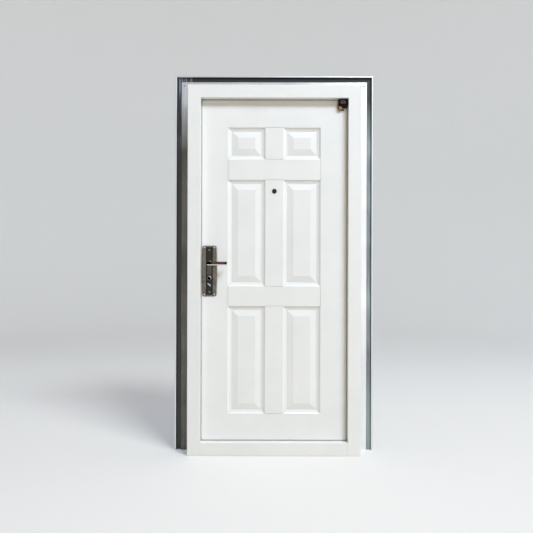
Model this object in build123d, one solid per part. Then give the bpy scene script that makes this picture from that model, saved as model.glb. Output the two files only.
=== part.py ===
from build123d import *
from math import atan, cos, pi, sin, tan
import os

# Steel security door set: a folded sheet frame, its casing, and a pressed six-panel leaf.
# Millimetres. X runs from the lock side to the hinge side, +Z is up, and the side that the
# photograph shows faces -Y. The origin is at the foot of the frame, in the middle of the
# leaf's width and thickness. The leaf opens towards +Y.

# Frame
frame_width = 960
frame_height = 2050
frame_sheet = 1.5
bend_radius = 2.4
face_width = 72
reveal_depth = 35
stop_height = 24
rebate_depth = 73
wall_return = 15
sill_height = 75

# Casing, lapped over the frame's flange
frame_flange = 20
casing_flat = 97
casing_step = 12
casing_band = 27
casing_lip = 15
casing_bead = 7.5
bead_return = 7

# Leaf
leaf_thickness = 67
leaf_gap = 4.5
seal_gap = 2.5
skin_sheet = 1.0
channel_sheet = 1.5
channel_flange = 28
board_gap = 1

# Six pressed panels, in two columns and three rows
panel_width = 209
muntin_width = 100
bottom_rail = 169.5
lock_rail = 110
frieze_rail = 114
panel_heights = (601, 595, 178)
ovolo_width = 9
ovolo_drop = 6.5
cove_width = 13
groove_depth = 10
bevel_width = 35
field_drop = 2.5
joint_groove = 2.4
joint_depth = 1.2

# Seal on the frame's stop
seal_width = 10
seal_edge = 5
seal_clearance = 0.3

# Hinges
hinge_heights = (300, 1027, 1750)
hinge_length = 110
hinge_knuckles = 5
knuckle_radius = 8
pin_radius = 5
pin_clearance = 0.05
pin_head = 4
hinge_plate = 2.05
hinge_plate_width = 34
knuckle_gap = 0.4
casing_to_knuckle = 0.5

# Lock case
backset = 66.5
spindle_height = 1062
case_height = 180
case_drop = 54
case_depth = 96
case_thickness = 22
case_wall = 2
cover_wall = 1.5
forend_height = 220
forend_width = 28
forend_thickness = 3
forend_screw_spacing = 200
forend_screw_length = 9
case_screw_radius = 2
case_screw_head = 4
case_fit = 0.3
follower_journal = 9
follower_radius = 13
follower_width = 14
follower_arm = 8
follower_arm_depth = 5
follower_reach = 24
snib_journal = 3
running_fit = 0.05
case_clearance = 0.5

# Latch, deadbolts and night bolt
latch_height = 26
latch_width = 14
latch_length = 24
latch_travel = 12
latch_tail = 6
latch_tail_length = 27
latch_nose = 2
bolt_radius = 7
bolt_spacing = 22
bolt_row_drop = 60
bolt_length = 30
bolt_plate_thickness = 8
bolt_plate_overhang = 8
bolt_chamfer = 1
night_bolt_drop = 131
night_bolt_size = 12
night_bolt_length = 22
latch_spring_radius = 5.3
latch_spring_wire = 0.7
latch_spring_length = 18
latch_spring_turns = 4

# Cylinder
cylinder_drop = 81
cylinder_radius = 8.5
cylinder_web = 10
cylinder_depth = 33
plug_radius = 6.5
cam_gap = 10
cam_boss = 6
cam_clearance = 0.5
cylinder_screw_drop = 19.6
plug_proud = 1
keyway_width = 2
keyway_height = 9
keyway_depth = 25

# Rack and pinion drives
bolt_module = 1.5
bolt_teeth = 17
night_module = 1.0
night_teeth = 12
pressure_angle = 20
rack_addendum = 0.65
tooth_backlash = 0.16
drive_thickness = 8
rack_thickness = 8

# Handle plates and levers
plate_width = 76
plate_height = 278
plate_drop = 41
plate_thickness = 6
plate_bulge = 2.5
plate_corner = 9
plate_chamfer = 2
strip_width = 38
strip_thickness = 3
strip_recess = 1.5
strip_margin = 6
strip_chamfer = 0.8
plate_screw_spacing = 234
plate_screw_radius = 2.5
plate_screw_head = 4.5
plate_screw_height = 1.6
plate_screw_stop = 5
post_radius = 4.5
post_length = 20
stud_radius = 4
stud_height = 1.6
stud_inset_x = 10
stud_inset_z = 8
spindle_size = 8
neck_radius = 9
neck_start = 0.5
socket_depth = 28
lever_projection = 58
lever_length = 100
lever_height = 23
lever_depth = 13
lever_facet = 7
lever_crown = 3
lever_taper = 2
snib_drop = 118
snib_shaft_radius = 4
snib_length = 25
snib_width = 11
snib_height = 13
knob_radius = 13.5
knob_depth = 13
turn_gap = 0.5

# Strike
strike_sheet = 2
strike_margin = 10
strike_width = 40
strike_screw_radius = 2.5
strike_screw_head = 4.5
strike_screw_length = 5.5
window_width = 24
bolt_hole_clearance = 1.5
dust_box_sheet = 1
dust_box_depth = 30

# Peephole
peephole_height = 1467
peephole_radius = 7
peephole_flange = 12.5
peephole_flange_thickness = 3.5
peephole_bore = 5
eyepiece_length = 24
eyepiece_bore = 3.6
barrel_end = 8
lens_thickness = 3
lens_recess = 2

# Small fitting on the leaf's top hinge-side corner
fitting_width = 50
fitting_height = 43
fitting_depth = 24
fitting_margin = 3
fitting_plate = 3
fitting_round = 4
fitting_rib = 6
fitting_boss_radius = 11
fitting_boss_depth = 17
fitting_boss_drop = 2
fitting_screw_radius = 4
fitting_screw_drop = 12

# Fixing holes in the frame
anchor_radius = 5.5
anchor_spacing = 780
anchor_centre = 1040
anchor_depth = 17
rivet_radius = 5
rivet_height = 2
rivet_place = 102

# Worked out
clear_half = frame_width / 2 - face_width
clear_top = frame_height - face_width
rebate_half = clear_half + stop_height
rebate_top = clear_top + stop_height
rebate_bottom = sill_height - stop_height
leaf_half = rebate_half - leaf_gap
leaf_bottom = rebate_bottom + leaf_gap
leaf_top = rebate_top - leaf_gap
leaf_face = leaf_thickness / 2
stop_y = -leaf_face - seal_gap
front_y = stop_y - reveal_depth
casing_y = stop_y + rebate_depth
spindle_x = -leaf_half + backset
cylinder_height = spindle_height - cylinder_drop
snib_height_z = spindle_height - snib_drop
case_centre = spindle_height - case_drop
bolt_row_height = spindle_height - bolt_row_drop
night_bolt_height = spindle_height - night_bolt_drop
plate_centre = spindle_height - plate_drop
forend_back = -leaf_half + forend_thickness
case_front = forend_back + case_wall
case_back = forend_back + case_depth
plate_stack = plate_thickness - strip_recess + strip_thickness


def box(low, high):
    """A block between two corners."""
    size = [b - a for a, b in zip(low, high)]
    centre = [(a + b) / 2 for a, b in zip(low, high)]
    return Pos(*centre) * Box(*size)


def rod(start, end, radius):
    """A round bar between two points."""
    line = Vector(*end) - Vector(*start)
    plane = Plane(origin=start, z_dir=line)
    return extrude(plane * Circle(radius), amount=line.length)


def folded_sheet(plane, points, sheet, radius, length, side=Side.RIGHT):
    """A bent sheet: the path is its visible face, and the metal lies to one side of it."""
    path = FilletPolyline(*points, radius=radius)
    outline = offset(path, amount=sheet, side=side, closed=True)
    return extrude(plane * make_face(outline), amount=length)


def frame_points():
    """The frame's section, outward from the clear opening and back from the face."""
    flange_depth = reveal_depth + rebate_depth - frame_sheet
    return (
        (face_width, wall_return),
        (face_width, 0),
        (0, 0),
        (0, reveal_depth),
        (stop_height, reveal_depth),
        (stop_height, flange_depth),
        (stop_height + frame_flange, flange_depth),
    )


def casing_points():
    """The casing's section, from the rebate outward, in the same place as the frame's."""
    casing_edge = stop_height + casing_flat
    band_edge = casing_edge + casing_band
    bead_edge = band_edge + casing_bead
    casing_depth = reveal_depth + rebate_depth
    band_depth = casing_depth + casing_step
    lip_depth = band_depth - casing_lip
    return (
        (stop_height, casing_depth),
        (casing_edge, casing_depth),
        (casing_edge, band_depth),
        (band_edge, band_depth),
        (band_edge, lip_depth),
        (bead_edge, lip_depth),
        (bead_edge, lip_depth + bead_return),
    )


def section_reach():
    """How far the casing stands out from the clear opening."""
    return stop_height + casing_flat + casing_band + casing_bead + frame_sheet


def upright(points):
    """A folded section standing at the hinge side, mitred at its top."""
    plane = Plane(origin=(clear_half, front_y, 0), x_dir=(1, 0, 0), z_dir=(0, 0, 1))
    length = clear_top + section_reach()
    solid = folded_sheet(plane, points, frame_sheet, bend_radius, length)
    mitre = Plane(origin=(clear_half, 0, clear_top), z_dir=(1, 0, -1))
    return split(solid, bisect_by=mitre, keep=Keep.TOP)


def crosspiece(points):
    """The same section over the opening, mitred at both ends."""
    reach = clear_half + section_reach()
    plane = Plane(origin=(reach, front_y, clear_top), x_dir=(0, 0, 1), z_dir=(-1, 0, 0))
    solid = folded_sheet(plane, points, frame_sheet, bend_radius, 2 * reach)
    for side in (-1, 1):
        mitre = Plane(origin=(side * clear_half, 0, clear_top), z_dir=(side, 0, -1))
        solid = split(solid, bisect_by=mitre, keep=Keep.BOTTOM)
    return solid


def other_side(solid):
    """The same piece mirrored to the lock side."""
    return mirror(solid, about=Plane.YZ)


def anchor_holes(side):
    """Three holes through a rebate wall, for the fixings into the wall."""
    holes = Part()
    for step in (-1, 0, 1):
        z = anchor_centre + step * anchor_spacing
        y = stop_y + anchor_depth
        inner = side * (rebate_half - 1)
        outer = side * (rebate_half + frame_sheet + 1)
        holes += rod((inner, y, z), (outer, y, z), anchor_radius)
    return holes


def sill():
    """The threshold, cut round the jambs' stops at its ends."""
    depth = reveal_depth + rebate_depth
    points = (
        (wall_return, 0),
        (0, 0),
        (0, sill_height),
        (reveal_depth, sill_height),
        (reveal_depth, rebate_bottom),
        (depth, rebate_bottom),
        (depth, 0),
        (depth - wall_return, 0),
    )
    plane = Plane(origin=(-rebate_half, front_y, 0), x_dir=(0, 1, 0), z_dir=(1, 0, 0))
    length = folded_sheet(plane, points, frame_sheet, bend_radius, 2 * rebate_half, Side.LEFT)
    for side in (-1, 1):
        low = (min(side * clear_half, side * (rebate_half + 1)), front_y - 1, -1)
        high = (max(side * clear_half, side * (rebate_half + 1)), stop_y, sill_height + 1)
        length -= box(low, high)
    return length


def seal():
    """A rubber strip all round the stop, just clear of the leaf."""
    bottom = sill_height
    thickness = seal_gap - seal_clearance
    inner_x = clear_half + seal_edge
    inner_top = clear_top + seal_edge
    inner_bottom = bottom - seal_edge
    outer = box(
        (-inner_x - seal_width, stop_y, inner_bottom - seal_width),
        (inner_x + seal_width, stop_y + thickness, inner_top + seal_width),
    )
    hole = box(
        (-inner_x, stop_y - 1, inner_bottom),
        (inner_x, stop_y + thickness + 1, inner_top),
    )
    ring = outer - hole
    return chamfer(ring.faces().sort_by(Axis.Y)[-1].edges(), thickness / 2)


# Leaf skins, channels and core


def panel_rows():
    """The bottom and top of each row of panels."""
    rows = []
    bottom = leaf_bottom + bottom_rail
    for height, rail in zip(panel_heights, (lock_rail, frieze_rail, 0)):
        rows.append((bottom, bottom + height))
        bottom += height + rail
    return rows


def panel_columns():
    inner = muntin_width / 2
    return ((-inner - panel_width, -inner), (inner, inner + panel_width))


def taper(left, right, bottom, top, levels):
    """A stepped pyramid: each level is how far in from the outline, and how deep."""
    solid = Part()
    for (inset, depth), (next_inset, next_depth) in zip(levels, levels[1:]):
        outlines = []
        for edge, y in ((inset, depth), (next_inset, next_depth)):
            plane = Plane(
                origin=((left + right) / 2, -leaf_face + y, (bottom + top) / 2),
                x_dir=(1, 0, 0),
                z_dir=(0, -1, 0),
            )
            outlines.append(plane * Rectangle(right - left - 2 * edge, top - bottom - 2 * edge))
        solid += loft(outlines)
    return solid


def joint_lines(rows, columns):
    """Fine grooves where the rails meet the stiles and the muntin meets the rails."""
    grooves = Part()
    outer_left = columns[0][0]
    outer_right = columns[1][1]
    half = joint_groove / 2

    def groove(start, end):
        line = Vector(*end) - Vector(*start)
        plane = Plane(origin=start, x_dir=line.cross(Vector(0, 1, 0)), z_dir=line)
        profile = Polyline((-half, 0), (0, -joint_depth), (half, 0), close=True)
        return extrude(plane * make_face(profile), amount=line.length)

    y = -leaf_face
    for (_, top), (bottom, _) in zip(rows, rows[1:]):
        for x in (outer_left, outer_right):
            grooves += groove((x, y, top), (x, y, bottom))
    for z in (edge for row in rows for edge in row):
        grooves += groove((columns[0][1], y, z), (columns[1][0], y, z))
    return grooves


def pressed_half():
    """The leaf from its pressed face to its middle, as one block."""
    block = box((-leaf_half, -leaf_face, leaf_bottom), (leaf_half, 0, leaf_top))
    rows = panel_rows()
    columns = panel_columns()
    groove_inset = ovolo_width + cove_width
    pocket = (
        (0, 0),
        (ovolo_width, ovolo_drop),
        (groove_inset, groove_depth),
    )
    field = (
        (groove_inset, groove_depth),
        (groove_inset + bevel_width, field_drop),
    )
    for left, right in columns:
        for bottom, top in rows:
            block -= taper(left, right, bottom, top, pocket)
            block += taper(left, right, bottom, top, field)
    return block - joint_lines(rows, columns)


def edge_channels():
    """Stile channels of the leaf's full height, with the rails' channels between them."""
    inside = leaf_face - skin_sheet
    height = leaf_top - leaf_bottom
    points = (
        (channel_flange, -inside),
        (0, -inside),
        (0, inside),
        (channel_flange, inside),
    )
    plane = Plane(origin=(-leaf_half, 0, leaf_bottom), x_dir=(1, 0, 0), z_dir=(0, 0, 1))
    lock_channel = folded_sheet(plane, points, channel_sheet, bend_radius, height)
    hinge_channel = mirror(lock_channel, about=Plane.YZ)
    rail_half = leaf_half - channel_flange
    rails = []
    for z, up in ((leaf_bottom, 1), (leaf_top, -1)):
        rail_plane = Plane(origin=(-up * rail_half, 0, z), x_dir=(0, 0, up), z_dir=(up, 0, 0))
        rails.append(folded_sheet(rail_plane, points, channel_sheet, bend_radius, 2 * rail_half))
    return lock_channel, hinge_channel, rails[0], rails[1]


def through_leaf(x, z, radius):
    """A round hole right through the leaf, front to back."""
    reach = leaf_face + 1
    return rod((x, -reach, z), (x, reach, z), radius)


def cylinder_outline(clearance):
    """The lock cylinder's profile: a barrel with a narrower web below it."""
    barrel = Circle(cylinder_radius + clearance)
    web_end = cylinder_web / 2 + clearance
    web_bottom = cylinder_radius - cylinder_depth - clearance
    foot = Pos(0, web_bottom + web_end) * Circle(web_end)
    web = Pos(0, (web_bottom + web_end) / 2) * Rectangle(2 * web_end, -web_bottom - web_end)
    return barrel + web + foot


def cylinder_solid(clearance, low, high):
    """The profile from one depth to another, along the leaf's thickness."""
    plane = Plane(origin=(spindle_x, low, cylinder_height), x_dir=(-1, 0, 0), z_dir=(0, 1, 0))
    return extrude(plane * cylinder_outline(clearance), amount=high - low)


def skin_holes(inner):
    """What passes through a skin."""
    holes = through_leaf(spindle_x, spindle_height, neck_radius)
    holes += cylinder_solid(case_clearance, -leaf_face - 1, leaf_face + 1)
    for side in (-1, 1):
        z = plate_centre + side * plate_screw_spacing / 2
        holes += through_leaf(spindle_x, z, post_radius + case_clearance)
    holes += through_leaf(0, peephole_height, peephole_radius)
    if inner:
        holes += through_leaf(spindle_x, snib_height_z, snib_shaft_radius + case_clearance)
    return holes


def lock_cavity():
    """Room for the lock case behind its forend."""
    grow = case_clearance
    half = case_thickness / 2 + grow
    body = box(
        (-leaf_half, -half, case_centre - case_height / 2 - grow),
        (case_back + grow, half, case_centre + case_height / 2 + grow),
    )
    flange = box(
        (-leaf_half, -forend_width / 2 - grow, case_centre - forend_height / 2 - grow),
        (
            forend_screw_length - leaf_half + grow,
            forend_width / 2 + grow,
            case_centre + forend_height / 2 + grow,
        ),
    )
    return body + flange


def core(half):
    """Honeycomb board, crushed to the form of the skins and glued to both."""
    front = half.moved(Location((0, skin_sheet, 0)))
    gap = channel_sheet + board_gap
    flange = leaf_half - channel_flange
    middle = box(
        (-flange, -leaf_face, leaf_bottom + channel_flange),
        (flange, 0, leaf_top - channel_flange),
    )
    rim_y = -leaf_face + skin_sheet + channel_sheet
    rim = box((gap - leaf_half, rim_y, leaf_bottom + gap), (leaf_half - gap, 0, leaf_top - gap))
    side = front & (middle + rim)
    board = side + mirror(side, about=Plane.XZ)
    return board - lock_cavity() - skin_holes(True)


# Gears and racks


def tooth_angle(module, teeth, radius):
    """Half of a tooth's angle at a radius, on an involute flank."""
    pitch = module * teeth / 2
    angle = pressure_angle * pi / 180
    base = pitch * cos(angle)
    at = max(radius, base)
    here = ((at / base) ** 2 - 1) ** 0.5
    roll_here = here - atan(here)
    roll_pitch = tan(angle) - angle
    half = (pi * module / 2 - tooth_backlash) / (2 * pitch)
    return half + roll_pitch - roll_here


def pinion_outline(module, teeth):
    """A spur pinion with one tooth centred on the outline's +Y."""
    pitch = module * teeth / 2
    base = pitch * cos(pressure_angle * pi / 180)
    radii = (pitch - 1.25 * module, base, pitch, pitch + module)
    points = []
    for tooth in range(teeth):
        middle = pi / 2 + 2 * pi * tooth / teeth
        flank = [(radius, tooth_angle(module, teeth, radius)) for radius in radii]
        sides = [(r, middle - a) for r, a in flank] + [(r, middle + a) for r, a in reversed(flank)]
        points += [(r * cos(a), r * sin(a)) for r, a in sides]
    return make_face(Polyline(*points, close=True))


def rack_outline(module, first, last, thickness):
    """A rack whose gap is centred on X = 0, with its teeth towards -Y and its pitch line at 0."""
    pitch = pi * module
    slope = tan(pressure_angle * pi / 180)
    tip = rack_addendum * module
    root = 1.25 * module
    half = pitch / 4 - tooth_backlash / 2
    points = [(first * pitch, root + thickness), (first * pitch, root)]
    for tooth in range(first, last + 1):
        middle = (tooth + 0.5) * pitch
        points += [
            (middle - half - root * slope, root),
            (middle - half + tip * slope, -tip),
            (middle + half - tip * slope, -tip),
            (middle + half + root * slope, root),
        ]
    end = (last + 1) * pitch
    points += [(end, root), (end, root + thickness)]
    return make_face(Polyline(*points, close=True))


def pinion(module, teeth, z, up):
    """A pinion across the lock's middle, with a tooth towards its rack."""
    outline = drive_plane(z, up) * pinion_outline(module, teeth)
    return extrude(outline, amount=drive_thickness)


def drive_plane(z, up):
    """The plane of a drive at a height: up is 1 where its rack lies above the pinion."""
    side = drive_thickness / 2
    return Plane(origin=(spindle_x, up * side, z), x_dir=(1, 0, 0), z_dir=(0, -up, 0))


def rack(module, teeth, z, up, first, last, thickness):
    pitch_line = z + up * module * teeth / 2
    return extrude(
        drive_plane(pitch_line, up) * rack_outline(module, first, last, thickness),
        amount=drive_thickness,
    )


# Frame


def bolt_heights():
    return [bolt_row_height + step * bolt_spacing for step in (-1, 0, 1)]


def bolt_openings(start, end, grow, slotted):
    """Where the latch and the bolts pass, with one slot for the deadbolts or a hole for each."""
    half_width = latch_width / 2 + grow
    half_height = latch_height / 2 + grow
    openings = box(
        (start, -half_width, spindle_height - half_height),
        (end, half_width, spindle_height + half_height),
    )
    heights = bolt_heights()
    if slotted:
        half = bolt_radius + grow
        openings += box((start, -half, heights[0] - half), (end, half, heights[-1] + half))
    else:
        for z in heights:
            openings += rod((start, 0, z), (end, 0, z), bolt_radius + grow)
    half = night_bolt_size / 2 + grow
    return openings + box(
        (start, -half, night_bolt_height - half),
        (end, half, night_bolt_height + half),
    )


def strike_span():
    """The lowest and highest point of the window in the lock jamb."""
    low = night_bolt_height - night_bolt_size / 2 - strike_margin
    high = spindle_height + latch_height / 2 + strike_margin
    return low, high


def countersunk_screw(start, direction, radius, head_radius, length):
    """A screw with its flat head flush at the start."""
    along = Vector(*direction)
    begin = Vector(*start)
    depth = head_radius - radius
    plane = Plane(origin=start, z_dir=direction)
    bottom = Plane(origin=begin + along * depth, z_dir=direction)
    cone = loft([plane * Circle(head_radius), bottom * Circle(radius)])
    end = begin + along * length
    return cone + rod(tuple(begin + along * (depth / 2)), tuple(end), radius)


def strike_screws():
    low, high = strike_span()
    return [
        countersunk_screw(
            (-rebate_half, 0, z),
            (-1, 0, 0),
            strike_screw_radius,
            strike_screw_head,
            strike_screw_length,
        )
        for z in (low - strike_margin, high + strike_margin)
    ]


def lock_jamb():
    solid = other_side(upright(frame_points()))
    low, high = strike_span()
    half = window_width / 2
    window = box((-rebate_half - frame_sheet - 1, -half, low), (-rebate_half + 1, half, high))
    window = fillet(window.edges().filter_by(Axis.X), half / 2)
    solid -= window
    for screw in strike_screws():
        solid -= screw
    return solid - anchor_holes(-1)


def rivets(side):
    """A rivet through the casing beside its mitre."""
    x = side * (clear_half + rivet_place + rivet_radius / 2)
    z = clear_top + rivet_place - rivet_radius / 2
    back = casing_y - frame_sheet
    shank = rod((x, back - rivet_height / 2, z), (x, casing_y, z), rivet_radius / 2)
    button = rod((x, back - rivet_height, z), (x, back, z), rivet_radius)
    button = fillet(button.faces().sort_by(Axis.Y)[0].edges(), rivet_height * 0.7)
    return shank + button


def strike_plate():
    low, high = strike_span()
    ends = 2 * strike_margin
    front = -rebate_half - frame_sheet
    plate = box(
        (front - strike_sheet, -strike_width / 2, low - ends),
        (front, strike_width / 2, high + ends),
    )
    plate = fillet(plate.edges().filter_by(Axis.X), strike_margin / 2)
    plate -= bolt_openings(front - strike_sheet - 1, front + 1, bolt_hole_clearance, True)
    for screw in strike_screws():
        plate -= screw
    return plate


def dust_box():
    low, high = strike_span()
    front = -rebate_half - frame_sheet - strike_sheet
    half = window_width / 2 + dust_box_sheet * 2
    back = front - dust_box_depth
    wall = dust_box_sheet
    shell = box((back, -half, low), (front, half, high))
    return shell - box((back + wall, wall - half, low + wall), (front + 1, half - wall, high - wall))


# Hinges


def hinge_leaf(centre, on_door):
    """One plate of a butt hinge with its own knuckles."""
    axis_x = leaf_half + leaf_gap / 2
    axis_y = casing_y + casing_to_knuckle + knuckle_radius
    pitch = hinge_length / hinge_knuckles
    bottom = centre - hinge_length / 2
    if on_door:
        plate_x = (leaf_half, leaf_half + hinge_plate)
    else:
        plate_x = (rebate_half - hinge_plate, rebate_half)
    plate = box(
        (plate_x[0], casing_y - hinge_plate_width, bottom),
        (plate_x[1], casing_y, bottom + hinge_length),
    )
    corners = plate.edges().filter_by(Axis.X).sort_by(Axis.Y)[:2]
    plate = fillet(corners, hinge_plate_width / 6)
    for knuckle in range(1 if on_door else 0, hinge_knuckles, 2):
        low = bottom + knuckle * pitch + knuckle_gap / 2
        high = low + pitch - knuckle_gap
        plate += box((plate_x[0], casing_y - 1, low), (plate_x[1], axis_y, high))
        plate += rod((axis_x, axis_y, low), (axis_x, axis_y, high), knuckle_radius)
    top = bottom + hinge_length
    hole = pin_radius + pin_clearance
    return plate - rod((axis_x, axis_y, bottom - 1), (axis_x, axis_y, top + 1), hole)


def hinge_pin(centre):
    """The pin, with a button head at each end."""
    axis_x = leaf_half + leaf_gap / 2
    axis_y = casing_y + casing_to_knuckle + knuckle_radius
    low = centre - hinge_length / 2 + knuckle_gap / 2
    high = centre + hinge_length / 2 - knuckle_gap / 2
    pin = rod((axis_x, axis_y, low), (axis_x, axis_y, high), pin_radius)
    for start, end in ((low, low - pin_head), (high, high + pin_head)):
        cap = rod((axis_x, axis_y, start), (axis_x, axis_y, end), knuckle_radius)
        end_face = cap.faces().sort_by(lambda face: abs(face.center().Z - centre))[-1]
        pin += fillet(end_face.edges(), pin_head * 0.6)
    return pin


# Lock


def forend_holes():
    """The latch, the bolts and every screw, through the front of the lock."""
    holes = bolt_openings(-leaf_half - 1, case_front + 1, running_fit, False) + cylinder_screw()
    for screw in forend_screws():
        holes += screw
    return holes


def cylinder_screw():
    z = cylinder_height - cylinder_screw_drop
    return countersunk_screw(
        (-leaf_half, 0, z),
        (1, 0, 0),
        case_screw_radius,
        case_screw_head,
        backset + cylinder_web / 2 - 1,
    )


def forend_screws():
    return [
        countersunk_screw(
            (-leaf_half, 0, case_centre + side * forend_screw_spacing / 2),
            (1, 0, 0),
            case_screw_radius,
            case_screw_head,
            forend_screw_length,
        )
        for side in (-1, 1)
    ]


def forend():
    half = forend_width / 2
    plate = box(
        (-leaf_half, -half, case_centre - forend_height / 2),
        (forend_back, half, case_centre + forend_height / 2),
    )
    return plate - forend_holes()


def case_holes():
    """The follower's journals, the cylinder and the snib's shaft, across the case."""
    reach = case_thickness / 2 + 1
    low = (spindle_x, -reach, spindle_height)
    high = (spindle_x, reach, spindle_height)
    return rod(low, high, follower_journal + running_fit) + cylinder_solid(case_fit, -reach, reach)


def lock_case():
    """A tray open on the photographed side, with its front flange behind the forend."""
    half = case_thickness / 2
    bottom = case_centre - case_height / 2
    top = case_centre + case_height / 2
    tray = box((forend_back, -half + cover_wall, bottom), (case_back, half, top))
    tray -= box(
        (case_front, -half, bottom + case_wall),
        (case_back - case_wall, half - case_wall, top - case_wall),
    )
    tray += box(
        (forend_back, -forend_width / 2, case_centre - forend_height / 2),
        (case_front, forend_width / 2, case_centre + forend_height / 2),
    )
    tray += spring_lug()
    tray -= forend_holes() + case_holes()
    journal = snib_journal + running_fit
    return tray - rod((spindle_x, 0, snib_height_z), (spindle_x, half + 1, snib_height_z), journal)


def spring_lug():
    """The lug that the latch's spring pushes against, with room for the latch's tail."""
    start = -leaf_half + latch_length + latch_spring_length
    half = case_thickness / 2
    lug = box(
        (start, -half + cover_wall + case_clearance, spindle_height - latch_height / 2),
        (start + case_wall, half - case_wall, spindle_height + latch_height / 2),
    )
    hole = latch_tail / 2 + case_fit
    return lug - box(
        (start - 1, -hole, spindle_height - hole),
        (start + case_wall + 1, hole, spindle_height + hole),
    )


def lock_cover():
    half = case_thickness / 2
    cover = box(
        (case_front, -half, case_centre - case_height / 2),
        (case_back, -half + cover_wall, case_centre + case_height / 2),
    )
    cover -= case_holes()
    shaft = snib_shaft_radius + running_fit
    return cover - rod((spindle_x, -half - 1, snib_height_z), (spindle_x, 0, snib_height_z), shaft)


def latch_bolt():
    """The bevelled latch, drawn back flush with the forend, on its square tail."""
    half_width = latch_width / 2
    low = spindle_height - latch_height / 2
    high = spindle_height + latch_height / 2
    bolt = box((-leaf_half, -half_width, low), (-leaf_half + latch_length, half_width, high))
    bevel = Polyline(
        (-leaf_half - 1, -half_width - 1),
        (-leaf_half + latch_travel, -half_width - 1),
        (-leaf_half + latch_travel, -half_width),
        (-leaf_half, half_width - latch_nose),
        (-leaf_half - 1, half_width - latch_nose),
        close=True,
    )
    bolt -= extrude(Plane(origin=(0, 0, low - 1)) * make_face(bevel), amount=latch_height + 2)
    tail = latch_tail / 2
    tail_start = -leaf_half + latch_length
    return bolt + box(
        (tail_start, -tail, spindle_height - tail),
        (tail_start + latch_tail_length, tail, spindle_height + tail),
    )


def latch_spring():
    """A compression spring round the latch's tail."""
    wire = latch_spring_wire
    start = -leaf_half + latch_length + wire
    length = latch_spring_length - 2 * wire
    pitch = length / latch_spring_turns
    plane = Plane(origin=(start, 0, spindle_height), z_dir=(1, 0, 0))
    path = plane * Helix(pitch=pitch, height=length, radius=latch_spring_radius)
    section = Plane(origin=path @ 0, z_dir=path % 0) * Circle(wire)
    return sweep(section, path=path)


def lock_follower():
    """The lever's follower: a hub on two journals, with the cam arm that draws the latch."""
    half = case_thickness / 2
    width = follower_width / 2
    hub = rod((spindle_x, -half, spindle_height), (spindle_x, half, spindle_height), follower_journal)
    hub += rod((spindle_x, -width, spindle_height), (spindle_x, width, spindle_height), follower_radius)
    arm = box(
        (spindle_x - follower_arm / 2, width - follower_arm_depth, spindle_height),
        (spindle_x + follower_arm / 2, width, spindle_height + follower_reach),
    )
    arm = fillet(arm.edges().filter_by(Axis.Y).sort_by(Axis.Z)[-2:], follower_arm / 3)
    hub += arm
    hole = spindle_size / 2 + running_fit
    return hub - box(
        (spindle_x - hole, -half - 1, spindle_height - hole),
        (spindle_x + hole, half + 1, spindle_height + hole),
    )


def deadbolts():
    """Three round bolts, drawn back flush with the forend."""
    bolts = []
    for z in bolt_heights():
        bolt = rod((-leaf_half, 0, z), (-leaf_half + bolt_length, 0, z), bolt_radius)
        bolts.append(chamfer(bolt.edges().sort_by(Axis.X)[0], bolt_chamfer))
    return Compound(children=bolts)


def bolt_carriage():
    """The plate that carries the bolts, with the rack that the cylinder's cam drives."""
    front = -leaf_half + bolt_length
    back = front + bolt_plate_thickness
    reach = bolt_spacing + bolt_plate_overhang
    plate = box(
        (front, -bolt_radius, bolt_row_height - reach),
        (back, bolt_radius, bolt_row_height + reach),
    )
    teeth = rack(bolt_module, bolt_teeth, cylinder_height, 1, -2, 5, rack_thickness)
    bar_bottom = cylinder_height + bolt_module * bolt_teeth / 2 + 1.25 * bolt_module
    side = drive_thickness / 2
    first_tooth = spindle_x - 2 * pi * bolt_module
    plate += box((back - 1, -side, bar_bottom), (first_tooth, side, bar_bottom + rack_thickness))
    return plate + teeth


def night_bolt():
    """The small square bolt with its rack, below the snib's pinion."""
    half = night_bolt_size / 2
    bolt = box(
        (-leaf_half, -half, night_bolt_height - half),
        (-leaf_half + night_bolt_length, half, night_bolt_height + half),
    )
    bolt = chamfer(bolt.faces().sort_by(Axis.X)[0].edges(), bolt_chamfer / 2)
    teeth = rack(night_module, night_teeth, snib_height_z, -1, -2, 4, rack_thickness)
    bar_top = snib_height_z - night_module * night_teeth / 2 - 1.25 * night_module
    side = drive_thickness / 2
    first_tooth = spindle_x - 2 * pi * night_module
    bolt += box(
        (-leaf_half + night_bolt_length - 1, -side, bar_top - rack_thickness),
        (first_tooth, side, bar_top),
    )
    return bolt + teeth


def cylinder_body():
    """The profile cylinder, bored for its plug and slotted for the cam."""
    body = cylinder_solid(0, -leaf_face, leaf_face)
    body -= through_leaf(spindle_x, cylinder_height, plug_radius + running_fit)
    tip = bolt_module * bolt_teeth / 2 + bolt_module + cam_clearance
    wide = cylinder_radius + 1
    body -= box(
        (spindle_x - wide, -cam_gap / 2, cylinder_height - tip),
        (spindle_x + wide, cam_gap / 2, cylinder_height + wide),
    )
    return body - cylinder_screw()


def cylinder_cam():
    half = cam_gap / 2
    low = (spindle_x, -half, cylinder_height)
    high = (spindle_x, half, cylinder_height)
    return pinion(bolt_module, bolt_teeth, cylinder_height, 1) + rod(low, high, cam_boss)


def cylinder_plug():
    """The key's side of the plug, with its keyway."""
    end = leaf_face + plate_stack + plug_proud
    plug = rod((spindle_x, cam_gap / 2, cylinder_height), (spindle_x, end, cylinder_height), plug_radius)
    half = keyway_width / 2
    return plug - box(
        (spindle_x - half, end - keyway_depth, cylinder_height - keyway_height / 2),
        (spindle_x + half, end + 1, cylinder_height + keyway_height / 2),
    )


# Handle plates, levers and knobs, all built on the photographed side


def plate_plane(depth, z=plate_centre):
    """Parallel to the leaf's face, this far out from it."""
    return Plane(origin=(spindle_x, -leaf_face - depth, z), x_dir=(1, 0, 0), z_dir=(0, -1, 0))


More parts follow.
